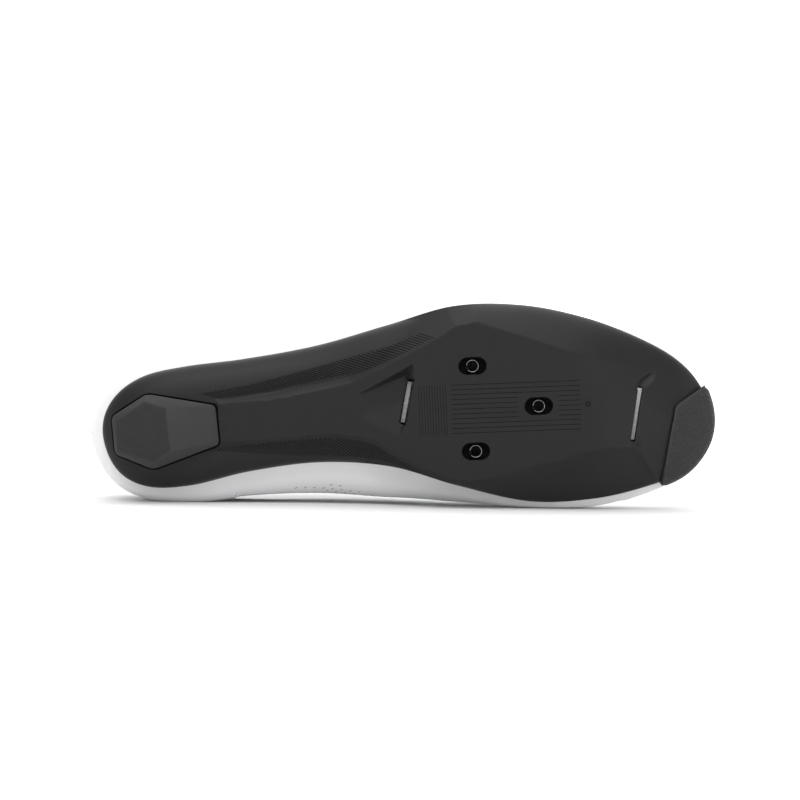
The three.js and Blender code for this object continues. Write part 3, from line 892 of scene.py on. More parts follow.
def make_outsole():
    angles = even_angles(SOLE_STEP)
    border = np.stack(outline(angles), 1)
    rows = [np.stack(plan_point(angles, share), 1) for share in EDGE_SHARES]
    slots, narrow_slots = (
        [stadium(x, y, SLOT_LENGTH + wider, SLOT_WIDTH + wider) for x, y in CLEAT_HOLES]
        for wider in (2 * SLOT_CHAMFER, 0)
    )
    vents = [stepped(rounded(vent, 0.5, 3), SOLE_STEP, closed=True) for vent in VENTS.values()]
    pocket = grown(PAD_LINE, PAD_GAP)
    pocket[:, 0] -= POCKET_BACK * (1 - smooth_step(10, 30, pocket[:, 0]))
    pocket = stepped(pocket, SOLE_STEP, closed=True)
    creases = [stepped(line, SOLE_STEP) for line in (BLOCK, HOLLOW[0:3], HOLLOW[5:8])]
    plan, faces = plan_sheet(border, [*slots, *vents, pocket], SOLE_STEP, creases, rows)
    patches = [(at_height(plan, sole_height(*plan.T, *placed(plan, angles))), faces)]
    edge = edge_line(angles)
    patches.append(bands([
        np.column_stack([*outline(angles, out), edge + RIM_HEIGHT * rise])
        for rise, out in ((0, 0), (0.12, 0.14), (0.5, 0.22), (0.85, 0.12), (1, 0))
    ]))
    cavity = stepped(grown(PLATE, 0.8), 2, closed=True)
    plan, faces = plan_sheet(border, [*vents, cavity], 4.0)
    patches.append((at_height(plan, footbed(*placed(plan, angles))), faces))
    floor = PLATE_LOW - FIT
    # Faces with finish 1 below are near-black painted shade: the slot walls, the cavity floor, the vent
    # walls and the pad pocket's walls and floor.
    for wide, narrow in zip(slots, narrow_slots):
        patches.append(bands([on_underside(wide), at_height(narrow, SLOT_CHAMFER)]))
        patches.append((*bands([at_height(narrow, SLOT_CHAMFER), at_height(narrow, floor)]), 1))
    plan, faces = plan_sheet(cavity, narrow_slots, 3.0)
    patches.append((at_height(plan, floor), faces, 1))
    patches.append(bands([at_height(cavity, floor), on_footbed(cavity)]))
    for vent in vents:
        patches.append((*bands([on_underside(vent), on_footbed(vent)]), 1))
    patches.append((*bands([on_underside(pocket), on_pad_plane(pocket, POCKET_FLOOR)]), 1))
    plan, faces = plan_sheet(pocket, [], 3.0)
    patches.append((on_pad_plane(plan, POCKET_FLOOR), faces, 1))
    finished(mesh_piece("outsole_shell", patches, [COMPOSITE, GROOVE_SHADE], 42), "sole_composite", "outsole")


def rib_lines(start_line, end_line, start, end, pitch_at, lean_at):
    """Straight ribs from one line across to another, each leaning by its own angle from the length."""
    lines = []
    reach = np.arange(0, 45, 0.1)
    x = start
    while x < end:
        lean = math.radians(float(lean_at(x)))
        way = np.array([math.cos(lean), math.sin(lean)])
        foot = np.array([x, float(start_line(x))])
        run = foot + reach[:, None] * way
        past = np.sign(lean) * (run[:, 1] - end_line(run[:, 0])) > 0
        stop = reach[np.argmax(past)]
        if stop > 0.8:
            lines.append(on_underside(foot + np.linspace(0.1, stop - 0.1, 16)[:, None] * way, 0.065))
        slope = float(start_line(x + 0.5) - start_line(x - 0.5))
        x += float(pitch_at(x)) / abs(way[1] - slope * way[0])
    return lines


def make_hatch_shade_lines():
    """Fine near-black bars of painted groove shade that lean across the two hollowed bands beside the tread
    block.
    """
    lateral = rib_lines(
        lambda x: GROOVE_LATERAL_OUT(x) + 0.2, lambda x: GROOVE_LATERAL_IN(x) - 0.3, 41, 134,
        curve((41, 80, 104, 130), (0.74, 0.78, 1.06, 1.06)), lambda x: 20,
    )
    inner_side = rib_lines(
        GROOVE_MEDIAL_OUT, lambda x: GROOVE_MEDIAL_IN(x) + 0.2, 48, 131,
        curve((48, 138), (0.93, 1.0)), curve((48, 90, 118, 138), (-38, -33, -36, -52)),
    )
    for name, lines in (("hatch_lateral", lateral), ("hatch_medial", inner_side)):
        finished(bars(name, lines, 0.165, 8, GROOVE_SHADE), "sole_composite")


# The cleat guide: long lines, shorter ones that leave the front slot free, and a ruled patch behind them
GUIDE_REACH = (144.9, 197.8)
GUIDE_FREE = (172.2, 188.9)
GUIDE_SIDE = 9.9
GUIDE_SLOPE = 0.004
RULED = (131.8, 143.9, 1.1)
GUIDE_RING_X = 201.0


def make_cleat_guide():
    """Fine lines for setting the cleat, in front of a ruled patch: near-black bars of painted groove shade.
    """
    start, end = GUIDE_REACH
    free_start, free_end = GUIDE_FREE
    lines = []
    for y in np.linspace(-GUIDE_SIDE, GUIDE_SIDE, 11):
        for reach in [GUIDE_REACH] if abs(y) > 5 else [(start, free_start), (free_end, end)]:
            x = np.linspace(*reach, 24)
            lines.append(on_underside(np.column_stack([x, y + (x - 170) * GUIDE_SLOPE]), 0.07))
    y = np.linspace(-10.2, 10.4, 20)
    for x in np.arange(*RULED):
        lines.append(on_underside(np.column_stack([np.full_like(y, x), y]), 0.09))
    lines.append(ring(GUIDE_RING_X, 0, 0.9, 0.08, np.linspace(0, 2 * math.pi, 20)))
    finished(bars("cleat_guide_lines", lines, 0.13, 6, GROOVE_SHADE), "sole_composite")


def hull_piece(name, corners, bevel, finish_used):
    """The tight skin around some corners, with rounded edges."""
    shape = bmesh.new()
    for corner in laid(corners):
        shape.verts.new(corner)
    made = bmesh.ops.convex_hull(shape, input=shape.verts)
    spare = made["geom_interior"] + made["geom_unused"]
    spare = [item for item in spare if isinstance(item, bmesh.types.BMVert)]
    bmesh.ops.delete(shape, geom=spare, context="VERTS")
    bmesh.ops.dissolve_limit(shape, angle_limit=math.radians(2), verts=shape.verts, edges=shape.edges)
    bmesh.ops.recalc_face_normals(shape, faces=shape.faces)
    mesh = bpy.data.meshes.new(name)
    shape.to_mesh(mesh)
    shape.free()
    mesh.materials.append(finish_used)
    piece = link(bpy.data.objects.new(name, mesh))
    modifier = piece.modifiers.new("rounded edges", "BEVEL")
    modifier.width = bevel * MILLIMETRE
    modifier.segments = 3
    modifier.limit_method = "ANGLE"
    modifier.angle_limit = math.radians(14)
    return applied(piece, modifier, 60)


def knurl_grid(border, pitch, inset, turn):
    """Plan points of a crosshatch within an outline, turned by some degrees."""
    reach = np.arange(-60, 60) * pitch
    u, v = np.meshgrid(reach, reach)
    a = math.radians(turn)
    turned = np.array([u * math.cos(a) - v * math.sin(a), u * math.sin(a) + v * math.cos(a)])
    grid = turned.reshape(2, -1).T + np.mean(border, 0)
    grid = grid[inside(*grid.T, border)]
    return grid[distance_to(*grid.T, border, closed=True) > inset]


KNURL_PITCH = 0.78


def make_heel_pad():
    corners = np.vstack([
        at_height(PAD_FACE, 0), at_height(PAD_RAMP, PAD_RAMP_HEIGHT), PAD_RIM_LINE,
        on_pad_plane(PAD_LINE, PAD_SEAT),
    ])
    finished(hull_piece("heel_tread_pad", corners, 0.2, RUBBER), "tread_rubber", "heel_pad")
    points = at_height(knurl_grid(PAD_FACE, KNURL_PITCH, 0.5, 45.0), 0.02)
    knurls = repeats("heel_pad_knurls", points, (0, 0, -1), (1, 0, 0), pyramid(1.0, 0.3), RUBBER)
    finished(knurls, "tread_rubber")


def bumper_point(angle, share, proud, out):
    """Point of a skin over the underside: proud of it, and moved out past its outline at a share of 1."""
    x, y = plan_point(angle, share, out * share ** 3)
    z = underside(angle, share) - proud * (1 - share ** 12)
    return np.stack([x, y, z], -1)


def make_toe_bumper():
    angles = even_angles(SOLE_STEP, BUMPER_OUT)
    rim = np.stack(outline(angles, BUMPER_OUT), 1)
    arc = (rim[:, 0] > 225) & ~inside(*rim.T, [*BUMPER_BACK, (200, 60), (200, -60), (255, -60)])
    angles = angles[arc]
    rim_arc = rim[arc]
    back = stepped(BUMPER_BACK[::-1], SOLE_STEP)
    back = back[inside(*back.T, rim)]
    if np.hypot(*(rim_arc[-1] - back[0])) > np.hypot(*(rim_arc[0] - back[0])):
        back = back[::-1]
    border = np.vstack([rim_arc, back])
    plan, faces = plan_sheet(border, [], 0.9)
    angle, share = placed(plan, angles, BUMPER_OUT)
    share = np.minimum(share, 1)
    thinner = 0.5 * (1 - np.clip(distance_to(*plan.T, BUMPER_BACK) / 0.9, 0, 1)) ** 2
    outer = bumper_point(angle, share, BUMPER_PROUD - thinner, BUMPER_OUT)
    inner = bumper_point(angle, share, 0.28, BUMPER_SEAT)
    count = len(angles)
    ends = np.minimum(np.arange(count), np.arange(count)[::-1]) * SOLE_STEP
    tuck = 1.3 * (1 - np.clip(ends / 2.6, 0, 1)) ** 2
    outer[:count, :2] = np.stack(outline(angles, BUMPER_OUT - tuck), 1)
    lap = []
    lap_inner = []
    for rise in (0.12, 0.35, 0.7, 0.92, 1.0):
        z = edge_line(angles) + (RIM_HEIGHT + BUMPER_LAP) * rise
        out = BUMPER_OUT + 0.15 * math.sin(rise * math.pi) - 3 * max(0, rise - 0.7) - tuck
        lap.append(np.column_stack([*outline(angles, out), z]))
        lap_inner.append(np.column_stack([*outline(angles, BUMPER_SEAT), z]))
    shift = len(plan) - count
    for face in bands([outer[:count], *lap], closed=False)[1]:
        faces.append(tuple(at if at < count else at + shift for at in face))
    skin = thick_skin(np.vstack([outer, *lap]), np.vstack([inner, *lap_inner]), faces)
    finished(mesh_piece("toe_bumper_cap", skin, [RUBBER], 50), "tread_rubber", "toe_bumper")

    grid = knurl_grid(border, KNURL_PITCH * 1.12, 0.9, 52.0)
    angle, share = place_on_sole(*grid.T, BUMPER_OUT)
    angle = angle[share < 0.985]
    share = share[share < 0.985]
    points, ahead, inward = (
        bumper_point(angle + turn, share - step, BUMPER_PROUD, BUMPER_OUT)
        for turn, step in ((0, 0), (0.01, 0), (0, 0.01))
    )
    facing = unit(np.cross(ahead - points, inward - points))
    facing *= -np.sign(facing[:, 2:])
    knurls = repeats("toe_bumper_knurls", points, facing, (1, 0, 0), pyramid(1.1, 0.28), RUBBER)
    finished(knurls, "tread_rubber")


def make_nut_plate():
    holes = [stadium(x, y, 5.4, 5.4, 16) for x, y in CLEAT_HOLES]
    plan, faces = plan_sheet(rounded(PLATE, 2.0, 4), holes, 3.0)
    patches = thick_skin(at_height(plan, PLATE_LOW), at_height(plan, PLATE_HIGH), faces)
    sleeve = [
        (2.35, SLEEVE_LOW + 0.12), (2.72, SLEEVE_LOW + 0.12), (2.72, PLATE_HIGH + 0.2),
        (1.95, PLATE_HIGH + 0.2), (1.95, SLEEVE_LOW + 0.3), (2.35, SLEEVE_LOW + 0.12),
    ]
    full_turn = np.arange(48) * 2 * math.pi / 48
    clip_turn = np.radians(np.linspace(-170, 138, 44))
    clips = []
    for x, y in CLEAT_HOLES:
        patches.append(bands([ring(x, y, radius, z, full_turn) for radius, z in sleeve]))
        clips.append(ring(x, y, 2.42, SLEEVE_LOW + 0.06, clip_turn))
    finished(mesh_piece("cleat_plate", patches, [BLACK_STEEL], 30), "steel", "cleat_nut_plate")
    finished(bars("sleeve_clips", clips, 0.12, 10, STEEL), "steel")


def make_vent_meshes():
    """Woven mesh behind each vent slot: threads both ways."""
    for name, side in (("vent_mesh_mid", -1), ("vent_mesh_toe", 1)):
        corners = np.array(VENTS[name])
        middle = corners.mean(0)
        z = on_underside(middle[None])[0, 2] + 1.3
        along = (corners[2] + corners[3] - corners[0] - corners[1]) / 2
        length = np.linalg.norm(along)
        along /= length
        across = np.array([along[1], -along[0]]) * side
        lines = []
        for step in np.arange(-length / 2 + 0.9, length / 2 - 0.7, 0.5):
            row = [middle + along * step + across * reach for reach in (-1.05, -0.45, 0.15, 0.6)]
            lines.append(at_height(row, z + 0.12 * np.array([1, -1, 1, -1])))
        for reach in (-0.8, -0.2, 0.4):
            steps = np.arange(-length / 2 + 0.7, length / 2 - 0.6, 0.31)
            row = middle + along * steps[:, None] + across * reach
            lines.append(at_height(row, z + 0.13 * np.cos(np.arange(len(steps)) * math.pi / 2)))
        finished(bars(name + "_weave", lines, 0.24, 6, MESH_THREAD), "vent_mesh", name)


# Upper
COLLAR = [
    (-12, 77), (0, 78), (8, 77), (18, 72.5), (30, 66.5), (46, 61.5), (62, 60), (78, 64), (92, 73), (101, 84),
    (107, 100), (107, 140), (-12, 140),
]
THROAT = [
    (90, -15), (108, -14.5), (140, -10), (176, -4), (184, 0), (187, 5.5),
    (184, 11), (176, 14), (140, 17.5), (108, 17), (90, 17.5),
]
THROAT_FLOOR = 40
TAB_ROUNDING = 16
CREASES = [
    [(158, -34), (164, -20), (167, -8)], [(167, -37), (172, -22), (174, -6)],
    [(160, 36), (166, 26), (170, 18)], [(170, 38), (176, 27), (180, 18)], [(188, -24), (194, 2), (189, 26)],
]
UPPER_STEP = 640 / 520
FORM_STEP = 640 / 360
DOWN = (0, 0, -1)
ABOVE = 130


def eased(points, rounds):
    """A closed outline with its corners cut again and again, which makes it smooth."""
    chain = np.array(points, float)
    for again in range(rounds):
        onward = np.roll(chain, -1, 0)
        chain = np.stack([lerp(chain, onward, 0.25), lerp(chain, onward, 0.75)], 1).reshape(-1, 2)
    return chain


COLLAR_LINE = eased(COLLAR, 2)
THROAT_LINE = eased(THROAT, 2)


def signed_depth(x, y, points):
    """How deep a point lies inside a closed outline, below zero outside it."""
    away = distance_to(x, y, points, closed=True)
    return np.where(inside(x, y, points), away, -away)


def opened(points):
    """True where the collar or the throat is cut away, with a round corner where the two meet."""
    x, y, z = np.moveaxis(points, -1, 0)
    collar = signed_depth(x, z, COLLAR_LINE)
    throat = np.minimum(signed_depth(x, y, THROAT_LINE), z - THROAT_FLOOR)
    return soft_min(-collar, -throat, TAB_ROUNDING) < 0


def top_levels(angles, out):
    """The level at which each section of the upper ends: at the opening, or 1 over the closed toe."""
    levels = np.linspace(0.3, 1, 120)
    cut = opened(upper_point(angles[:, None], levels[None, :], out[:, None]))
    closed = ~cut.any(1)
    first = np.where(closed, len(levels) - 1, cut.argmax(1))
    low = levels[np.maximum(first - 1, 0)]
    high = levels[first]
    for halving in range(16):
        half = (low + high) / 2
        gone = opened(upper_point(angles, half, out))
        low = np.where(gone, low, half)
        high = np.where(gone, half, high)
    return np.where(closed, 1.0, high), closed


def counter_line(z):
    """Front edge of the heel counter, along the shoe."""
    return 58 - 0.42 * (z - 20)


def cap_line(y, z):
    """Rear edge of the toe cap, along the shoe."""
    return 207 + 0.16 * (z - 18) + 0.006 * (y - 6) ** 2


def relief(points):
    """How far the upper stands proud: heel counter, toe cap and a band at the throat, less soft creases."""
    x, y, z = np.moveaxis(points, -1, 0)
    counter = smooth_step(0, 1.4, counter_line(z) - x) * 0.5
    cap = smooth_step(0, 1.6, x - cap_line(y, z)) * 0.45
    stay_away = np.where(x > 92, distance_to(x, y, THROAT), 50)
    stay = smooth_step(0, 1.4, 8.5 - stay_away) * (z > 34) * 0.45 * smooth_step(92, 100, x)
    depth = np.zeros(np.shape(x))
    for line in CREASES:
        away = distance_to(x, y, line)
        depth += 0.35 * np.exp(-(away / 2.2) ** 2) - 0.12 * np.exp(-((away - 5) / 2.4) ** 2)
    return np.maximum(np.maximum(counter, cap), stay) - depth * smooth_step(26, 40, z)


def make_upper():
    """The upper as one skin, from its turned-in margin up the outside, over the rim and down inside."""
    angles = even_angles(UPPER_STEP)
    wall = wall_at(angles)
    outer_top, closed = top_levels(angles, np.zeros_like(angles))
    inner_top = np.where(closed, 1.0, top_levels(angles, -wall)[0])
    collar_pad = 1.6 * (1 - smooth_step(0.3, 0.5, along_of(angles)))

    def margin(share, out, lift):
        plan = plan_point(angles, share, out - FOOT_INSET)
        return np.column_stack([*plan, footbed(angles, share) + lift])

    def outer_at(share):
        level = outer_top * share
        raised = relief(upper_point(angles, level, 0)) * smooth_step(0.0, 0.05, share)
        raised = raised * (1 - 0.9 * smooth_step(0.985, 1.0, share) * closed)
        return upper_point(angles, level, raised + 0.5 * collar_pad * smooth_step(0.8, 0.97, share))

    def inner_at(share):
        swell = collar_pad * smooth_step(0.55, 0.8, share) * (1 - smooth_step(0.9, 1.0, share))
        row = upper_point(angles, inner_top * share, -wall - swell)
        row[:, 2] += MARGIN * (1 - share) ** 8
        return row

    margin_low = [margin(share, 0, FIT) for share in (MARGIN_INNER, 0.85, 0.93, 0.98)]
    shares = np.concatenate([np.linspace(0, 0.12, 6)[:-1], np.linspace(0.12, 0.985, 44), [0.994, 1.0]])
    outer = [outer_at(share) for share in shares]
    inner = [inner_at(share) for share in np.linspace(1, 0, 30)]
    up = unit(upper_point(angles, outer_top, 0) - upper_point(angles, outer_top - 0.004, 0))
    middle = (outer[-1] + inner[0]) / 2
    half = (outer[-1] - inner[0]) / 2
    bulge = up * np.linalg.norm(half, axis=1)[:, None] * 0.75
    rim = [middle + half * math.cos(t) + bulge * math.sin(t) for t in np.linspace(0, math.pi, 7)[1:-1]]
    margin_high = [margin(share, -wall, FIT + MARGIN) for share in (0.97, 0.9, 0.82, MARGIN_INNER)]
    points, faces = bands([*margin_low, *outer, *rim, *inner, *margin_high, margin_low[0]])
    count = len(angles)
    first_rim = len(margin_low) + len(outer) - 1
    last_rim = first_rim + len(rim)
    outside = []
    lined = []
    for face in faces:
        row, at = divmod(face[0], count)
        if first_rim <= row <= last_rim and closed[at] and closed[(at + 1) % count]:
            continue
        (lined if row > last_rim - 2 else outside).append(face)
    patches = [(points, outside, 0), (points, lined, 1)]
    finished(mesh_piece("upper_shell", patches, [SYNTHETIC, LINING], 55), "synthetic_upper", "upper")
    return closed, outer[-1], up


def make_binding(closed, top, up):
    """Soft piping on the outer edge of collar and throat, from the throat's end round to it again."""
    open_part = np.flatnonzero(~closed)
    gap = np.flatnonzero(np.diff(open_part) > 1)[0]
    loop = (top + up * 0.35)[np.roll(open_part, -1 - gap)]
    finished(bars("collar_piping", [[*loop, loop[0]]], 0.75, 10, STRAP_CLOTH), "synthetic_upper")


def line_on_upper(angles, level_share):
    """Points at a share of the upper's height, their facing, and a slanting direction along the surface."""
    level = top_levels(angles, np.zeros_like(angles))[0] * level_share
    raised = relief(upper_point(angles, level, 0))
    point = upper_point(angles, level, raised)
    run = upper_point(angles + 0.004, level, raised) - point
    rise = upper_point(angles, level + 0.004, raised) - point
    outward = upper_point(angles, level, raised + 1) - point
    facing = unit(np.cross(run, rise))
    facing *= np.sign(np.sum(facing * outward, 1))[:, None]
    return point, facing, unit(run) * 0.8 + unit(rise) * 0.6


# Rows of pinholes on the quarters: side, share of the height, first and last place along the shoe
HOLE_PITCH = 4.1
HOLE_ROWS = [
    (True, 0.085, 94, 99), (True, 0.125, 76, 110), (True, 0.165, 92, 114), (True, 0.205, 108, 124),
    (True, 0.245, 96, 132), (True, 0.285, 80, 136), (True, 0.325, 72, 138), (True, 0.365, 76, 134),
    (False, 0.20, 60, 124), (False, 0.245, 52, 132), (False, 0.29, 44, 138), (False, 0.335, 40, 140),
    (False, 0.38, 40, 138), (False, 0.425, 44, 132), (False, 0.47, 52, 124), (False, 0.515, 64, 116),
]


def make_perforations():
    rows = []
    for index, (inner_side, share, start, end) in enumerate(HOLE_ROWS):
        x = np.arange(start + (index % 2) * HOLE_PITCH / 2, end, HOLE_PITCH)
        angle = np.arccos(1 - 2 * x / SOLE_LENGTH)
        rows.append(line_on_upper(2 * np.pi - angle if inner_side else angle, share))
    piece = repeats("quarter_perforations", *map(np.vstack, zip(*rows)), slit(1.3, 0.5), HOLE_DARK)
    finished(piece, "synthetic_upper")


def stitch_row(points, facing, pitch):
    """Places, facings and runs of stitches along a line, with an even pitch."""
    points = np.array(points)
    facing = np.array(facing)
    length = np.concatenate([[0], np.cumsum(np.linalg.norm(np.diff(points, axis=0), axis=1))])
    count = max(2, round(length[-1] / pitch))
    at = (np.arange(count) + 0.5) * length[-1] / count

    def read(places, rows):
        return np.column_stack([np.interp(places, length, column) for column in rows.T])

    place = read(at, points)
    return place, read(at, facing), read(at + 0.3, points) - place


def upper_form_tree(out=0.0, plain=False):
    """The upper's form, for finding places on it; a plain one has no panels and creases."""
    angles = even_angles(FORM_STEP)
    rows = []
    for level in np.linspace(0, 1, 70):
        raised = 0.9 if plain else relief(upper_point(angles, level, 0))
        rows.append(upper_point(angles, level, out + raised * (level > 0.03)))
    points, faces = bands(rows)
    return BVHTree.FromPolygons([Vector(point) for point in points], faces)


def met(form, start, way):
    """Point and normal where a straight line first meets a form, or nothing."""
    hit, normal = form.ray_cast(Vector(start), Vector(way))[:2]
    return None if hit is None else (np.array(hit), np.array(normal))


def make_stitching():
    """Seams beside the throat and the heel counter, up the back and over the toe cap."""
    form = upper_form_tree()
    seams = []
    for side, start, slope in ((-1, -20.8, 0.13), (1, 23.4, -0.06)):
        seams.append([
            met(form, (x, start + (x - 100) * slope, ABOVE), DOWN) for x in np.arange(104, 178, 3)
        ])
        seams.append([
            met(form, (counter_line(z) - 2.4, 2.5 + side * 60, z), (0, -side, 0))
            for z in np.arange(22, 70, 2.0)
        ])
    seams.append([met(form, (-20, 3.4, z), (1, 0, 0)) for z in np.arange(20.5, 74, 1.5)])
    cap = [met(form, (cap_line(y, 46.0) + 2.2, y, ABOVE), DOWN) for y in np.arange(-22, 33, 1.5)]
    seams.append([found for found in cap if found and found[0][2] > 24])
    rows = [stitch_row(*zip(*seam), pitch) for seam, pitch in zip(seams, (2.1, 2.1, 2.1, 2.1, 1.5, 2.1))]
    stitch = capsule(1.5, 0.55, 0.22)
    piece = repeats("upper_stitches", *map(np.vstack, zip(*rows)), stitch, THREAD, 60)
    finished(piece, "synthetic_upper")


# Straps: place along the shoe, width, and how far they reach down each side, in degrees from upright
STRAPS = {"strap_front": (159.0, 17.0, 64, 62), "strap_instep": (128.0, 23.0, 54, 50)}
STRAP_ROWS = 15
STRAP_COLUMNS = 61
STRAP_SEAM = 0.72
STRAP_SEAM_ROWS = (2, 12)
STRAP_END = 5


def make_straps():
    form = upper_form_tree(plain=True)
    for name, (middle, width, lateral, inner) in STRAPS.items():
        top = np.zeros((STRAP_ROWS, STRAP_COLUMNS, 3))
        bottom = np.zeros_like(top)
        for row, share in enumerate(np.linspace(-1, 1, STRAP_ROWS)):
            edge = 1 - abs(share) ** 8
            ridge = 0.18 * math.exp(-((abs(share) - STRAP_SEAM) / 0.08) ** 2)
            for column, angle in enumerate(np.radians(np.linspace(-lateral, inner, STRAP_COLUMNS))):
                end = min(column, STRAP_COLUMNS - 1 - column, STRAP_END) / STRAP_END
                end_edge = 1 - (1 - end) ** 3
                x = middle + share * width / 2 + 4.0 * math.cos(angle * 1.6) - 2
                away = np.array((0, math.sin(angle), math.cos(angle)))
                point, facing = met(form, (x, crest_y(x), 30.0), away)
                facing = facing * np.sign(facing @ away)
                low = point + facing * (FIT + 0.1)
                thick = STRAP * (0.55 + 0.45 * edge) * (0.5 + 0.5 * end_edge) - ridge
                bottom[row, column] = low
                top[row, column] = low + facing * thick
        points, faces = bands(top, closed=False)
        skin = thick_skin(points, np.vstack(bottom), faces)
        finished(mesh_piece(name + "_band", skin, [STRAP_CLOTH], 48), "strap", name)
        rows = [stitch_row(top[row, 3:-3], (top - bottom)[row, 3:-3], 2.2) for row in STRAP_SEAM_ROWS]
        stitch = capsule(1.5, 0.5, 0.2)
        stitches = repeats(name + "_stitches", *map(np.vstack, zip(*rows)), stitch, THREAD, 60)
        finished(stitches, "strap")


def make_tongue():
    """A padded tongue: channels sewn across a soft pad, thin at its rim."""
    form = upper_form_tree(-WALL - 0.9)
    border = stepped(eased([
        (83, -7), (87, -14), (98, -18), (140, -15), (180, -9), (192, -2), (195, 6),
        (192, 13), (180, 19), (140, 22), (98, 21), (87, 17), (83, 9),
    ], 3), 1.4, closed=True)
    plan, faces = plan_sheet(border, [], 1.3)
    x, y = plan.T
    rim = distance_to(x, y, border, closed=True)
    thinner = 1 - np.sqrt(1 - (1 - np.clip(rim / 4.5, 0, 1)) ** 2)
    channels = [np.exp(-((x - place - 0.012 * (y - 3) ** 2) / 1.3) ** 2) for place in range(98, 169, 14)]
    surface, normal = map(np.array, zip(*(met(form, (*point, ABOVE), DOWN) for point in plan)))
    normal *= np.sign(normal[:, 2:])
    top = surface - normal * (1.5 * thinner + np.minimum(sum(channels), 1))[:, None]
    bottom = surface - normal * (TONGUE - 1.7 * thinner)[:, None]
    piece = mesh_piece("tongue_pad", thick_skin(top, bottom, faces), [TONGUE_CLOTH], 60)
    finished(piece, "tongue_fabric", "tongue")
    edge = ((top + bottom) / 2)[:len(border)]
    finished(bars("tongue_binding", [[*edge, edge[0]]], 1.15, 10, STRAP_CLOTH), "tongue_fabric")


def make_insole():
    """A footbed with shallow dimples under the heel and the ball."""
    angles = even_angles(1.6)
    inset = -wall_at(angles) - 0.8
    step = MARGIN + FIT
    low = [(0.02, 0), (0.45, 0), (MARGIN_INNER - 0.06, 0), (MARGIN_INNER, step), (0.9, step), (1.0, step)]
    high = [(1.0, 1.6), (0.985, 2.4), (0.96, 2.9)]
    high += [(share, INSOLE) for share in np.linspace(0.93, 0.02, 34)]

    def row(share, lift):
        plan = plan_point(angles, share, inset * share)
        return np.column_stack([*plan, footbed(angles, share) + FIT + lift])

    rows = [row(share, lift) for share, lift in low]
    for share, lift in high:
        loop = row(share, step + lift)
        x, y = loop[:, :2].T
        dimpled = (share < 0.9) & ((x > 150) | (x < 60))
        loop[:, 2] += 0.25 * np.cos(x * 0.9) * np.cos(y * 0.9) * dimpled
        rows.append(loop)
    finished(mesh_piece("insole_foam", [closed_tube(rows)], [LINING], 50), "lining", "insole")


# Stage
IMAGE_ROLL = 2.33
TARGET = (124.0, -4.8, 0.0)
DISTANCE = 1.0
LENS = 109.9
FLOOR_REACH = 40.0
BACK_START = 2.2
BACK_RADIUS = 0.8
BACK_TOP = 5.0
FLOOR_GREY = 0.83
WORLD_LIGHT = 0.5
GLOW_MIDDLE = (0.0, -0.25, 0.0)
GLOW = {"From Min": 0.55, "From Max": 1.0, "To Min": 0.0, "To Max": 0.8}
LIGHTS = [
    ("softbox above", (0, 0.15, 1.2), (0, 0, 0), (1.6, 1.2), 9),
    ("softbox behind camera", (-0.15, -1.6, 1.9), (0, 0, 0), (1.6, 1.2), 31),
    ("low fill at the toe side", (1.1, -1.3, 0.2), (0.05, 0, 0.02), (0.7, 0.3), 2.4),
    ("low fill at the heel side", (-1.1, -1.3, 0.2), (-0.05, 0, 0.02), (0.7, 0.3), 0.9),
]


def make_camera():
    roll = math.radians(IMAGE_ROLL)
    back = -upward
    right = (forward * math.cos(roll) + medial * math.sin(roll)).normalized()
    up = back.cross(right)
    data = bpy.data.cameras.new("view")
    data.lens = LENS
    camera = link(bpy.data.objects.new("view", data))
    place = Vector(laid([TARGET])[0]) + back * DISTANCE
    camera.matrix_world = Matrix.Translation(place) @ Matrix((right, up, back)).transposed().to_4x4()
    bpy.context.scene.camera = camera


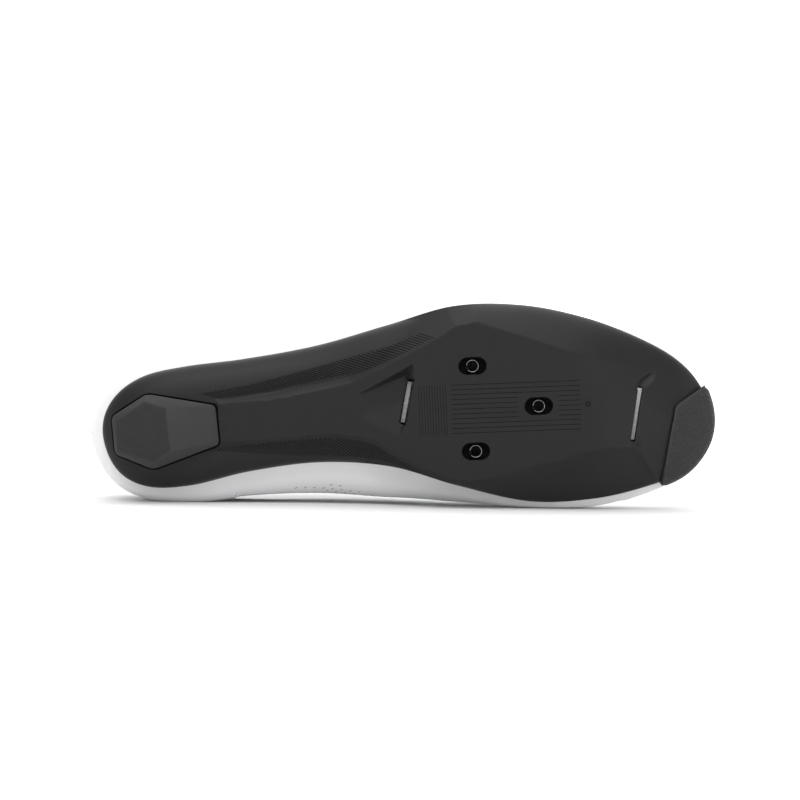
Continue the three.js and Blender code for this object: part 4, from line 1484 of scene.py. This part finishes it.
def make_stage():
    """A plain pale floor that sweeps up far behind the shoe; it glows softly away from the shoe's shadow."""
    profile = [(-FLOOR_REACH, 0.0), (BACK_START, 0.0)]
    for turn in np.linspace(0, math.pi / 2, 16)[1:]:
        profile.append((BACK_START + BACK_RADIUS * math.sin(turn), BACK_RADIUS * (1 - math.cos(turn))))
    profile.append((BACK_START + BACK_RADIUS, BACK_TOP))
    points = [(x, y, z) for y, z in profile for x in (-FLOOR_REACH, FLOOR_REACH)]
    faces = [(2 * at, 2 * at + 1, 2 * at + 3, 2 * at + 2) for at in range(len(profile) - 1)]
    mesh = bpy.data.meshes.new("floor")
    mesh.from_pydata(points, [], faces)
    floor = link(bpy.data.objects.new("floor", mesh))
    paper = bpy.data.materials.new("pale studio paper")
    paper.use_nodes = True
    tree = paper.node_tree
    where = add_node(tree, "ShaderNodeTexCoord")
    reach = add_node(
        tree, "ShaderNodeVectorMath", {0: where.outputs["Object"], 1: GLOW_MIDDLE}, operation="DISTANCE")
    glow = add_node(tree, "ShaderNodeMapRange", {
        "Value": reach.outputs["Value"], **GLOW,
    }, interpolation_type="SMOOTHSTEP")
    mixed = add_node(tree, "ShaderNodeCombineXYZ", {axis: glow.outputs["Result"] for axis in "XYZ"})
    feed(tree.nodes["Principled BSDF"], {
        "Base Color": (FLOOR_GREY, FLOOR_GREY, FLOOR_GREY, 1), "Roughness": 0.9, "Specular IOR Level": 0.1,
        "Emission Color": mixed.outputs["Vector"], "Emission Strength": 1.0,
    })
    mesh.materials.append(paper)
    shade(mesh, 60)


def make_lights():
    world = bpy.data.worlds.new("studio")
    world.use_nodes = True
    feed(world.node_tree.nodes["Background"], {"Color": (1, 1, 1, 1), "Strength": WORLD_LIGHT})
    bpy.context.scene.world = world
    for name, place, aim, size, power in LIGHTS:
        data = bpy.data.lights.new(name, "AREA")
        data.shape = "RECTANGLE"
        data.size, data.size_y = size
        data.energy = power
        lamp = link(bpy.data.objects.new(name, data))
        lamp.location = place
        lamp.rotation_mode = "QUATERNION"
        lamp.rotation_quaternion = (Vector(aim) - Vector(place)).to_track_quat("-Z", "Y")
    bpy.context.scene.view_settings.view_transform = "Standard"


make_camera()
make_stage()
make_lights()
make_outsole()
make_hatch_shade_lines()
make_cleat_guide()
make_heel_pad()
make_toe_bumper()
make_nut_plate()
make_vent_meshes()
make_binding(*make_upper())
make_perforations()
make_stitching()
make_straps()
make_tongue()
make_insole()
